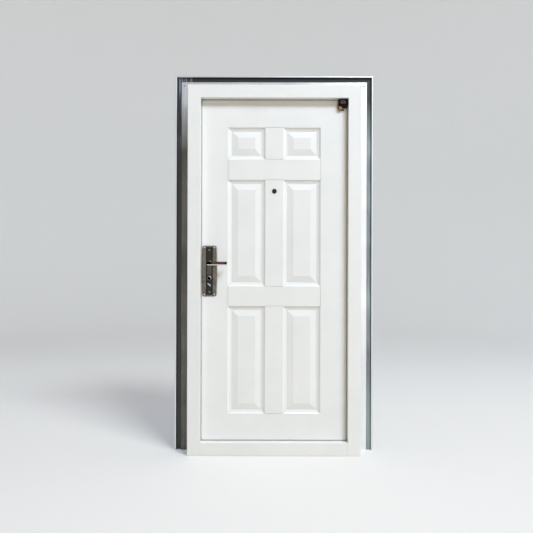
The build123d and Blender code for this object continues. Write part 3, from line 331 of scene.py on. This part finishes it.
def makeLacquerStrip(name, setup):
    material, tree = newFinish(name)
    place = addNode(tree, "ShaderNodeTexCoord")
    low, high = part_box("inner_strip")
    centre = addNode(tree, "ShaderNodeMapping", {"Location": (-(low.x + high.x) / 2, 0, 0)},
                     {"Vector": (place, "Object")})
    axes = addNode(tree, "ShaderNodeSeparateXYZ", None, {"Vector": (centre, "Vector")})
    away = addNode(tree, "ShaderNodeMath", {"operation": "ABSOLUTE"}, {0: (axes, "X")})
    hammer = addNode(tree, "ShaderNodeTexNoise", {"Scale": 1000 / setup["hammerMm"], "Detail": 3.0},
                     {"Vector": (place, "Object")})
    inside = addNode(tree, "ShaderNodeMapRange",
                     {"From Min": setup["middleHalfWidth"] + 0.002, "From Max": setup["middleHalfWidth"] - 0.003},
                     {"Value": (away, "Value")})
    middleMottle = addNode(tree, "ShaderNodeMath", {"operation": "MULTIPLY"},
                  {0: (inside, "Result"), 1: (hammer, "Fac")})
    tone = addNode(tree, "ShaderNodeValToRGB", None, {"Fac": (middleMottle, "Value")})
    rampStops(tone, [(0.1, linearColor(setup["edge"])), (0.7, linearColor(setup["middle"]))])
    # painted reflection: the middle is painted palest just below the lever
    below = addNode(tree, "ShaderNodeMapRange", {"From Min": setup["reflectionFrom"] + 0.004,
                                                 "From Max": setup["reflectionFrom"] - 0.004},
                    {"Value": (axes, "Z")})
    over = addNode(tree, "ShaderNodeMapRange", {"From Min": setup["reflectionTo"] - 0.012,
                                                "From Max": setup["reflectionTo"] + 0.012},
                   {"Value": (axes, "Z")})
    zone = addNode(tree, "ShaderNodeMath", {"operation": "MULTIPLY"},
                   {0: (below, "Result"), 1: (over, "Result")})
    zone = addNode(tree, "ShaderNodeMath", {"operation": "MULTIPLY"},
                   {0: (zone, "Value"), 1: (middleMottle, "Value")})
    tone = addNode(tree, "ShaderNodeMix", {"data_type": "RGBA", 7: linearColor(setup["paintedReflection"])},
                   {0: (zone, "Value"), 6: (tone, "Color")})
    bump = addNode(tree, "ShaderNodeBump", {"Strength": 0.3, "Distance": 0.0002},
                   {"Height": (hammer, "Fac")})
    lacquer = addNode(tree, "ShaderNodeBsdfPrincipled",
                      {"Metallic": 0.6, "Roughness": setup["roughness"], "Coat Weight": 0.3},
                      {"Base Color": (tone, 2), "Normal": (bump, "Normal")})
    addNode(tree, "ShaderNodeOutputMaterial", None, {"Surface": (lacquer, "BSDF")})
    return material


# Where things turn on the handle plates, in metres
handle = {"axisX": -0.361, "spindle": 1.062, "thumb": 0.981, "snib": 0.944, "centre": 1.021,
          "screwStep": 0.117}


def offsetAxes(tree, place, x, z):
    # Object coordinates measured from an axis that is square to the leaf
    moved = addNode(tree, "ShaderNodeMapping", {"Location": (-x, 0, -z)}, {"Vector": (place, "Object")})
    return addNode(tree, "ShaderNodeSeparateXYZ", None, {"Vector": (moved, "Vector")})


def radiusOf(tree, axes):
    flat = addNode(tree, "ShaderNodeCombineXYZ", None, {"X": (axes, "X"), "Z": (axes, "Z")})
    return addNode(tree, "ShaderNodeVectorMath", {"operation": "LENGTH"}, {0: (flat, "Vector")})


def metalFrom(tree, color, output, roughness, bumpSource=None):
    metal = addNode(tree, "ShaderNodeBsdfPrincipled", {"Metallic": 1.0, "Roughness": roughness},
                    {"Base Color": (color, output)})
    if bumpSource:
        bump = addNode(tree, "ShaderNodeBump", {"Strength": 0.2, "Distance": 0.00005},
                       {"Height": bumpSource})
        tree.links.new(bump.outputs["Normal"], metal.inputs["Normal"])
    addNode(tree, "ShaderNodeOutputMaterial", None, {"Surface": (metal, "BSDF")})


# Lever: near-black over the hub, then smoked nickel from green-grey to wine red, with a pale painted
# reflection along its underside
leverFinish = {
    "from": -0.374,
    "to": -0.2605,
    "stops": [(0.0, "#090909"), (0.24, "#0b0b0b"), (0.3, "#6d5350"), (0.4, "#46544b"), (0.58, "#4f4a47"),
              (0.68, "#6e4349"), (0.86, "#6a3f49"), (0.93, "#2b2428"), (1.0, "#141214")],
    "paintedReflection": "#fdeee2",
    "reflectionBelow": -0.0048,
    "roughness": 0.24,
    "brushMm": 0.9,
}


def makeLeverFinish(name, setup):
    material, tree = newFinish(name)
    place = addNode(tree, "ShaderNodeTexCoord")
    axes = offsetAxes(tree, place, 0, handle["spindle"])
    along = addNode(tree, "ShaderNodeMapRange", {"From Min": setup["from"], "From Max": setup["to"]},
                    {"Value": (axes, "X")})
    tone = addNode(tree, "ShaderNodeValToRGB", None, {"Fac": (along, "Result")})
    rampStops(tone, [(position, linearColor(color)) for position, color in setup["stops"]])
    stretch = addNode(tree, "ShaderNodeMapping", {"Scale": (0.05, 1, 1)}, {"Vector": (place, "Object")})
    lines = addNode(tree, "ShaderNodeTexNoise", {"Scale": 1000 / setup["brushMm"], "Detail": 3.0},
                    {"Vector": (stretch, "Vector")})
    # painted reflection: the underside is painted pale
    under = addNode(tree, "ShaderNodeMapRange",
                    {"From Min": setup["reflectionBelow"], "From Max": setup["reflectionBelow"] - 0.0012},
                    {"Value": (axes, "Z")})
    color = addNode(tree, "ShaderNodeMix", {"data_type": "RGBA", 7: linearColor(setup["paintedReflection"])},
                    {0: (under, "Result"), 6: (tone, "Color")})
    metalFrom(tree, color, 2, setup["roughness"], (lines, "Fac"))
    return material


# Thumb-turn: black dish in a nickel rim, with a painted highlight on the rim at its upper right
thumbFinish = {"dish": "#070708", "rim": "#7c7974", "rimHighlight": "#f3edfb", "dishRadius": 0.0088, "roughness": 0.2}


def makeThumbFinish(name, setup):
    material, tree = newFinish(name)
    place = addNode(tree, "ShaderNodeTexCoord")
    axes = offsetAxes(tree, place, handle["axisX"], handle["thumb"])
    radius = radiusOf(tree, axes)
    grime = addNode(tree, "ShaderNodeTexNoise", {"Scale": 500.0, "Detail": 3.0},
                    {"Vector": (place, "Object")})
    rim = addNode(tree, "ShaderNodeMapRange",
                  {"From Min": setup["dishRadius"] - 0.0008, "From Max": setup["dishRadius"] + 0.0012},
                  {"Value": (radius, "Value")})
    color = addNode(tree, "ShaderNodeMix", {"data_type": "RGBA", 6: linearColor(setup["dish"]),
                                            7: linearColor(setup["rim"])}, {0: (rim, "Result")})
    # painted highlight: the rim is painted pale at its upper right
    corner = addNode(tree, "ShaderNodeMath", {"operation": "MULTIPLY_ADD", 1: 1.3},
                     {0: (axes, "Z"), 2: (axes, "X")})
    rimHighlight = addNode(tree, "ShaderNodeMapRange", {"From Min": 0.0085, "From Max": 0.0125},
                   {"Value": (corner, "Value")})
    edge = addNode(tree, "ShaderNodeMapRange", {"From Min": 0.0055, "From Max": 0.0075},
                   {"Value": (radius, "Value")})
    rimHighlight = addNode(tree, "ShaderNodeMath", {"operation": "MULTIPLY"},
                   {0: (rimHighlight, "Result"), 1: (edge, "Result")})
    color = addNode(tree, "ShaderNodeMix", {"data_type": "RGBA", 7: linearColor(setup["rimHighlight"])},
                    {0: (rimHighlight, "Value"), 6: (color, 2)})
    metalFrom(tree, color, 2, setup["roughness"], (grime, "Fac"))
    return material


# Snib: dark smoked nickel, with a pale painted highlight along its length and a thinner painted highlight
# line on its upper edge
snibFinish = {"body": "#1d1b22", "ridgeHighlight": "#f0ebfa", "edge": "#9a95a6", "roughness": 0.24}


def makeSnibFinish(name, setup):
    material, tree = newFinish(name)
    place = addNode(tree, "ShaderNodeTexCoord")
    axes = offsetAxes(tree, place, handle["axisX"], handle["snib"])
    across = addNode(tree, "ShaderNodeMath", {"operation": "ADD"}, {0: (axes, "X"), 1: (axes, "Z")})
    grime = addNode(tree, "ShaderNodeTexNoise", {"Scale": 400.0, "Detail": 4.0},
                    {"Vector": (place, "Object")})
    tone = addNode(tree, "ShaderNodeMapRange", {"From Min": -0.008, "From Max": 0.008},
                   {"Value": (across, "Value")})
    ramp = addNode(tree, "ShaderNodeValToRGB", None, {"Fac": (tone, "Result")})
    body, ridgeHighlight, edge = (linearColor(setup[part]) for part in ("body", "ridgeHighlight", "edge"))
    # painted highlights: a pale ridge across the middle and a fainter line towards the upper edge
    rampStops(ramp, [(0.0, body), (0.3, body), (0.4, ridgeHighlight), (0.56, ridgeHighlight), (0.64, body), (0.78, body),
                     (0.84, edge), (0.95, edge)])
    metalFrom(tree, ramp, "Color", setup["roughness"], (grime, "Fac"))
    return material


# Plate screws: bright zinc heads with a painted dark cross for the shade in their cross recess
screwFinish = {"head": "#a9aaa8", "recess": "#23221f", "slotHalf": 0.0007, "slotReach": 0.0032,
               "roughness": 0.3}


def makeScrewFinish(name, setup):
    material, tree = newFinish(name)
    place = addNode(tree, "ShaderNodeTexCoord")
    axes = offsetAxes(tree, place, handle["axisX"], handle["centre"])
    away = addNode(tree, "ShaderNodeMath", {"operation": "ABSOLUTE"}, {0: (axes, "Z")})
    along = addNode(tree, "ShaderNodeMath", {"operation": "SUBTRACT", 1: handle["screwStep"]},
                    {0: (away, "Value")})
    along = addNode(tree, "ShaderNodeMath", {"operation": "ABSOLUTE"}, {0: (along, "Value")})
    beside = addNode(tree, "ShaderNodeMath", {"operation": "ABSOLUTE"}, {0: (axes, "X")})
    near = addNode(tree, "ShaderNodeMath", {"operation": "MINIMUM"},
                   {0: (along, "Value"), 1: (beside, "Value")})
    far = addNode(tree, "ShaderNodeMath", {"operation": "MAXIMUM"},
                  {0: (along, "Value"), 1: (beside, "Value")})
    # painted shade: a dark cross where the shaded cross recess is
    slot = addNode(tree, "ShaderNodeMath", {"operation": "LESS_THAN", 1: setup["slotHalf"]},
                   {0: (near, "Value")})
    inside = addNode(tree, "ShaderNodeMath", {"operation": "LESS_THAN", 1: setup["slotReach"]},
                     {0: (far, "Value")})
    crossShade = addNode(tree, "ShaderNodeMath", {"operation": "MULTIPLY"},
                    {0: (slot, "Value"), 1: (inside, "Value")})
    wear = addNode(tree, "ShaderNodeTexNoise", {"Scale": 600.0, "Detail": 3.0},
                   {"Vector": (place, "Object")})
    color = addNode(tree, "ShaderNodeMix", {"data_type": "RGBA", 6: linearColor(setup["head"]),
                                            7: linearColor(setup["recess"])}, {0: (crossShade, "Value")})
    metalFrom(tree, color, 2, setup["roughness"], (wear, "Fac"))
    return material


# Corner fitting: blackened zinc casting, a painted violet-grey highlight arc over its upper half and a
# red-brown rib
fittingFinish = {"body": "#19161a", "arcHighlight": "#6b6476", "rib": "#8a4a40", "arcX": 0.3795, "arcZ": 1.9535,
                 "arcRadius": 0.0135, "arcHalf": 0.0022, "roughness": 0.4}


def makeFittingFinish(name, setup):
    material, tree = newFinish(name)
    place = addNode(tree, "ShaderNodeTexCoord")
    axes = offsetAxes(tree, place, setup["arcX"], setup["arcZ"])
    radius = radiusOf(tree, axes)
    # painted highlight: a violet-grey arc round the fitting's axis, on its upper half only
    off = addNode(tree, "ShaderNodeMath", {"operation": "SUBTRACT", 1: setup["arcRadius"]},
                  {0: (radius, "Value")})
    off = addNode(tree, "ShaderNodeMath", {"operation": "ABSOLUTE"}, {0: (off, "Value")})
    ring = addNode(tree, "ShaderNodeMapRange", {"From Min": setup["arcHalf"], "From Max": 0.0008},
                   {"Value": (off, "Value")})
    upper = addNode(tree, "ShaderNodeMapRange", {"From Min": 0.001, "From Max": 0.005},
                    {"Value": (axes, "Z")})
    arcHighlight = addNode(tree, "ShaderNodeMath", {"operation": "MULTIPLY"},
                  {0: (ring, "Result"), 1: (upper, "Result")})
    cast = addNode(tree, "ShaderNodeTexNoise", {"Scale": 350.0, "Detail": 5.0},
                   {"Vector": (place, "Object")})
    color = addNode(tree, "ShaderNodeMix", {"data_type": "RGBA", 6: linearColor(setup["body"]),
                                            7: linearColor(setup["arcHighlight"])}, {0: (arcHighlight, "Value")})
    level = addNode(tree, "ShaderNodeMath", {"operation": "ABSOLUTE"}, {0: (axes, "Z")})
    rib = addNode(tree, "ShaderNodeMapRange", {"From Min": 0.0032, "From Max": 0.0022},
                  {"Value": (level, "Value")})
    inner = addNode(tree, "ShaderNodeMapRange", {"From Min": 0.0135, "From Max": 0.0115},
                    {"Value": (radius, "Value")})
    rib = addNode(tree, "ShaderNodeMath", {"operation": "MULTIPLY"},
                  {0: (rib, "Result"), 1: (inner, "Result")})
    color = addNode(tree, "ShaderNodeMix", {"data_type": "RGBA", 7: linearColor(setup["rib"])},
                    {0: (rib, "Value"), 6: (color, 2)})
    metalFrom(tree, color, 2, setup["roughness"], (cast, "Fac"))
    return material


# EPDM rubber of the stop's seal: matte, with a talc bloom
sealRubber = {"color": "#2b2b2a", "bloom": "#4b4a47", "roughness": 0.75, "bloomMm": 18}


def makeSealRubber(name, setup):
    material, tree = newFinish(name)
    place = addNode(tree, "ShaderNodeTexCoord")
    bloom = addNode(tree, "ShaderNodeTexNoise", {"Scale": 1000 / setup["bloomMm"], "Detail": 5.0},
                    {"Vector": (place, "Object")})
    tone = addNode(tree, "ShaderNodeValToRGB", None, {"Fac": (bloom, "Fac")})
    rampStops(tone, [(0.45, linearColor(setup["color"])), (0.75, linearColor(setup["bloom"]))])
    bump = addNode(tree, "ShaderNodeBump", {"Strength": 0.2, "Distance": 0.0001},
                   {"Height": (bloom, "Fac")})
    rubber = addNode(tree, "ShaderNodeBsdfPrincipled", {"Roughness": setup["roughness"], "IOR": 1.5},
                     {"Base Color": (tone, "Color"), "Normal": (bump, "Normal")})
    addNode(tree, "ShaderNodeOutputMaterial", None, {"Surface": (rubber, "BSDF")})
    return material


# Kraft honeycomb of the leaf's core: cell walls drawn at their real 12 mm
kraftBoard = {"color": "#b08a5c", "wall": "#7d5f3c", "roughness": 0.85, "cellMm": 12}


def makeKraftBoard(name, setup):
    material, tree = newFinish(name)
    place = addNode(tree, "ShaderNodeTexCoord")
    cells = addNode(tree, "ShaderNodeTexVoronoi",
                    {"Scale": 1000 / setup["cellMm"], "feature": "DISTANCE_TO_EDGE", "Randomness": 0.15},
                    {"Vector": (place, "Object")})
    tone = addNode(tree, "ShaderNodeValToRGB", None, {"Fac": (cells, "Distance")})
    rampStops(tone, [(0.03, linearColor(setup["wall"])), (0.1, linearColor(setup["color"]))])
    bump = addNode(tree, "ShaderNodeBump", {"Strength": 0.5, "Distance": 0.001},
                   {"Height": (cells, "Distance")})
    board = addNode(tree, "ShaderNodeBsdfPrincipled", {"Roughness": setup["roughness"]},
                    {"Base Color": (tone, "Color"), "Normal": (bump, "Normal")})
    addNode(tree, "ShaderNodeOutputMaterial", None, {"Surface": (board, "BSDF")})
    return material


# Smoked lens glass of the peephole
lensGlass = {"color": "#8c8075", "roughness": 0.03, "ior": 1.52}


def makeLensGlass(name, setup):
    material, tree = newFinish(name)
    place = addNode(tree, "ShaderNodeTexCoord")
    brightTopMask = addNode(tree, "ShaderNodeTexNoise", {"Scale": 300.0, "Detail": 2.0},
                   {"Vector": (place, "Object")})
    rough = addNode(tree, "ShaderNodeMapRange",
                    {"To Min": setup["roughness"], "To Max": setup["roughness"] + 0.05},
                    {"Value": (brightTopMask, "Fac")})
    glass = addNode(tree, "ShaderNodeBsdfPrincipled",
                    {"Base Color": linearColor(setup["color"]), "IOR": setup["ior"],
                     "Transmission Weight": 0.85},
                    {"Roughness": (rough, "Result")})
    addNode(tree, "ShaderNodeOutputMaterial", None, {"Surface": (glass, "BSDF")})
    return material


finishes = {
    "frameCoat": makePowderCoat("polyesterPowderCoatFrame", powderCoat, 0.12, 0.15),
    "leafCoat": makePowderCoat("polyesterPowderCoatLeaf", powderCoat, 0.25, 0.85),
    "zincSheet": makeZincSheet("hotDipGalvanisedSheet", zincSheet),
    "casingSheet": makeCasingSheet("galvanisedCasingPaintedReflections", casingSheet),
    "zincPlate": makeWorkedMetal("zincPlatedSteel", zincPlate),
    "antiqueNickel": makeWorkedMetal("antiqueBrushedNickel", antiqueNickel),
    "roseNickel": makeWorkedMetal("darkAntiqueNickel", roseNickel),
    "lever": makeLeverFinish("smokedNickelLeverPaintedReflection", leverFinish),
    "thumb": makeThumbFinish("dishedThumbNickel", thumbFinish),
    "snib": makeSnibFinish("snibNickelPaintedHighlights", snibFinish),
    "screw": makeScrewFinish("zincScrewWithPaintedCrossShade", screwFinish),
    "fitting": makeFittingFinish("blackenedZincCasting", fittingFinish),
    "brightNickel": makeWorkedMetal("brightNickelPlate", brightNickel),
    "brass": makeWorkedMetal("turnedCylinderBrass", cylinderBrass),
    "darkBronze": makeWorkedMetal("darkPatinatedBronze", darkBronze),
    "copper": makeWorkedMetal("tarnishedCopperBoss", copperBoss),
    "lacquer": makeLacquerStrip("blackLacquerPaintedReflection", lacquerStrip),
    "rubber": makeSealRubber("epdmSealRubber", sealRubber),
    "kraft": makeKraftBoard("kraftHoneycomb", kraftBoard),
    "glass": makeLensGlass("smokedLensGlass", lensGlass),
}
print("finishes made:", len(finishes))

nodeFinish = {
    "frameCoat": ["hinge_jamb", "lock_jamb", "frame_head", "door_sill"],
    "leafCoat": ["inner_skin", "outer_skin"],
    "casingSheet": ["hinge_side_casing", "lock_side_casing", "top_casing"],
    "zincSheet": ["lock_stile_channel", "hinge_stile_channel", "bottom_rail_channel", "top_rail_channel",
                  "strike_dust_box"],
    "zincPlate": ["casing_rivets", "strike_plate", "strike_screws", "forend", "forend_screws", "lock_case",
                  "lock_cover", "latch_bolt", "latch_spring", "lock_follower", "deadbolts", "bolt_carriage",
                  "night_bolt", "spindle", "cylinder_screw", "snib_shaft"],
    "antiqueNickel": ["inner_plate", "outer_plate"],
    "lever": ["inner_lever", "outer_lever"],
    "brightNickel": ["plate_studs"],
    "thumb": ["thumb_turn"],
    "snib": ["snib_knob"],
    "screw": ["plate_screws"],
    "brass": ["cylinder_body", "cylinder_cam", "cylinder_plug"],
    "copper": ["corner_boss"],
    "fitting": ["corner_bracket"],
    "darkBronze": ["peephole_barrel", "peephole_eyepiece", "corner_screw"],
    "lacquer": ["inner_strip", "outer_strip"],
    "rubber": ["stop_seal"],
    "kraft": ["honeycomb_core"],
    "glass": ["peephole_lenses"],
}
for place in ("bottom", "middle", "top"):
    nodeFinish["zincPlate"] += [place + "_hinge_" + end for end in ("jamb_plate", "leaf_plate", "pin")]


def paintNode(node, material):
    node.data.materials.clear()
    node.data.materials.append(material)


for finish, names in nodeFinish.items():
    for name in names:
        paintNode(nodes[name], finishes[finish])
unpainted = sorted(set(nodes) - {name for names in nodeFinish.values() for name in names})
print("nodes without a finish:", unpainted)

# A low turned rose round each lever's neck, standing on the strip
rose = {"bore": 0.0094, "shoulder": 0.0122, "edge": 0.0155, "stripFront": 0.041,
        "height": 0.0032, "steps": 48}


def makeRose(name, side, setup):
    mesh = bmesh.new()
    base = setup["stripFront"]
    top = base + setup["height"]
    outline = [(setup["edge"], base), (setup["edge"], base + setup["height"] * 0.45), (setup["shoulder"],
                top),
               (setup["bore"], top), (setup["bore"], base)]
    ring = [mesh.verts.new((radius, side * depth, 0)) for radius, depth in outline]
    for first, second in zip(ring, ring[1:] + ring[:1]):
        mesh.edges.new((first, second))
    bmesh.ops.spin(mesh, geom=mesh.verts[:] + mesh.edges[:], cent=(0, 0, 0), axis=(0, 1, 0), angle=2 * pi,
                   steps=setup["steps"], use_merge=True, use_duplicate=False)
    bmesh.ops.remove_doubles(mesh, verts=mesh.verts[:], dist=0.00001)
    bmesh.ops.recalc_face_normals(mesh, faces=mesh.faces[:])
    bmesh.ops.translate(mesh, verts=mesh.verts[:], vec=(handle["axisX"], 0, handle["spindle"]))
    data = bpy.data.meshes.new(name)
    mesh.to_mesh(data)
    mesh.free()
    piece = bpy.data.objects.new(name, data)
    scene.collection.objects.link(piece)
    data.materials.append(finishes["roseNickel"])
    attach(piece, "leaf_body")


makeRose("inner_lever_rose", -1, rose)
makeRose("outer_lever_rose", 1, rose)
print("roses made")

# Floor and backdrop in one round bowl, open at the top
bowl = {"radius": 9.0, "bend": 3.0, "height": 8.5, "glow": 0.6, "floor": "#d8cfc0", "floorGlow": "#9aaac0",
        "wall": "#a89a86", "wallGlow": "#e4ecf7", "floorTo": 4.5, "wallFrom": 7.5,
        "backdrop": "#dcdddd", "backdropGlow": "#767676", "backdropFrom": 1.0, "backdropTo": 3.5,
        "bendSteps": 16, "turnSteps": 96}


def makeBowl(setup):
    mesh = bmesh.new()
    flat = setup["radius"] - setup["bend"]
    centre = mesh.verts.new((0, 0, 0))
    turn = mesh.verts.new((flat, 0, 0))
    mesh.edges.new((centre, turn))
    bend = bmesh.ops.spin(mesh, geom=[turn], cent=(flat, 0, setup["bend"]), axis=(0, -1, 0),
                          angle=pi / 2, steps=setup["bendSteps"], use_merge=False, use_duplicate=False)
    last = next(v for v in bend["geom_last"] if isinstance(v, bmesh.types.BMVert))
    rim = mesh.verts.new((setup["radius"], 0, setup["height"]))
    mesh.edges.new((last, rim))
    bmesh.ops.spin(mesh, geom=mesh.verts[:] + mesh.edges[:], cent=(0, 0, 0), axis=(0, 0, 1),
                   angle=2 * pi, steps=setup["turnSteps"], use_merge=True, use_duplicate=False)
    bmesh.ops.remove_doubles(mesh, verts=mesh.verts[:], dist=0.001)
    bmesh.ops.recalc_face_normals(mesh, faces=mesh.faces[:])
    data = bpy.data.meshes.new("studioBowl")
    mesh.to_mesh(data)
    mesh.free()
    for face in data.polygons:
        face.use_smooth = True
    return bpy.data.objects.new("studioBowl", data)


floor = makeBowl(bowl)
scene.collection.objects.link(floor)
floorFinish, floorTree = newFinish("paintedStudioFloor")
floorPlace = addNode(floorTree, "ShaderNodeTexCoord")
floorCloud = addNode(floorTree, "ShaderNodeTexNoise", {"Scale": 0.6, "Detail": 3.0},
                     {"Vector": (floorPlace, "Object")})
floorReach = addNode(floorTree, "ShaderNodeVectorMath", {"operation": "LENGTH"},
                     {0: (floorPlace, "Object")})
floorAway = addNode(floorTree, "ShaderNodeMath", {"operation": "MULTIPLY_ADD", 1: 0.4},
                    {0: (floorCloud, "Fac"), 2: (floorReach, "Value")})
floorFar = addNode(floorTree, "ShaderNodeMapRange",
                   {"From Min": bowl["floorTo"], "From Max": bowl["wallFrom"]},
                   {"Value": (floorAway, "Value")})
floorTone = addNode(floorTree, "ShaderNodeMix", {"data_type": "RGBA", 6: linearColor(bowl["floor"]),
                                                 7: linearColor(bowl["wall"])}, {0: (floorFar, "Result")})
floorShine = addNode(floorTree, "ShaderNodeMix", {"data_type": "RGBA", 6: linearColor(bowl["floorGlow"]),
                                                  7: linearColor(bowl["wallGlow"])},
                     {0: (floorFar, "Result")})
# behind the door the bowl is plain pale paint, which also lights the door's far side
floorAxes = addNode(floorTree, "ShaderNodeSeparateXYZ", None, {"Vector": (floorPlace, "Object")})
floorBehind = addNode(floorTree, "ShaderNodeMapRange",
                      {"From Min": bowl["backdropFrom"], "From Max": bowl["backdropTo"]},
                      {"Value": (floorAxes, "Y")})
floorTone = addNode(floorTree, "ShaderNodeMix", {"data_type": "RGBA", 7: linearColor(bowl["backdrop"])},
                    {0: (floorBehind, "Result"), 6: (floorTone, 2)})
floorShine = addNode(floorTree, "ShaderNodeMix",
                     {"data_type": "RGBA", 7: linearColor(bowl["backdropGlow"])},
                     {0: (floorBehind, "Result"), 6: (floorShine, 2)})
# the bowl glows a little where it is seen or mirrored, and lights nothing by it
floorRays = addNode(floorTree, "ShaderNodeLightPath")
floorSeen = addNode(floorTree, "ShaderNodeMath", {"operation": "ADD"},
                    {0: (floorRays, "Is Camera Ray"), 1: (floorRays, "Is Glossy Ray")})
floorSeen = addNode(floorTree, "ShaderNodeMath", {"operation": "ADD", "use_clamp": True},
                    {0: (floorSeen, "Value"), 1: (floorRays, "Is Transmission Ray")})
floorGlow = addNode(floorTree, "ShaderNodeMath", {"operation": "MULTIPLY", 1: bowl["glow"]},
                    {0: (floorSeen, "Value")})
floorPaint = addNode(floorTree, "ShaderNodeBsdfPrincipled", {"Roughness": 0.8},
                     {"Base Color": (floorTone, 2), "Emission Color": (floorShine, 2),
                      "Emission Strength": (floorGlow, "Value")})
addNode(floorTree, "ShaderNodeOutputMaterial", None, {"Surface": (floorPaint, "BSDF")})
floor.data.materials.append(floorFinish)
print("stage set")

# A key box high on the right, and a tall strip that the right casing mirrors
softBoxes = {
    "keyBox": {"place": (5.07, -6.89, 8.8), "size": (4.6, 4.6), "power": 2180, "color": "#e5f1ff"},
    "stripBox": {"place": (1.75, -4.6, 1.9), "size": (1.1, 3.6), "power": 8.8, "color": "#eaf2ff"},
}
aimHeight = 1.05
target = Vector((0, 0, aimHeight))
for name, setup in softBoxes.items():
    lamp = bpy.data.lights.new(name, "AREA")
    lamp.shape = "RECTANGLE"
    lamp.size, lamp.size_y = setup["size"]
    lamp.energy = setup["power"]
    lamp.color = linearColor(setup["color"])[:3]
    box = bpy.data.objects.new(name, lamp)
    box.location = setup["place"]
    box.rotation_euler = (target - box.location).to_track_quat("-Z", "Y").to_euler()
    box.visible_camera = False
    scene.collection.objects.link(box)

# Pale sky over the open top of the bowl
room = {"sky": "#f2e4cc", "strength": 0.33}
world = bpy.data.worlds.new("studioRoom")
scene.world = world
world.use_nodes = True
tree = world.node_tree
tree.nodes.clear()
skyLight = addNode(tree, "ShaderNodeBackground",
                   {"Color": linearColor(room["sky"]), "Strength": room["strength"]})
addNode(tree, "ShaderNodeOutputWorld", None, {"Surface": (skyLight, "Background")})
print("lights set")
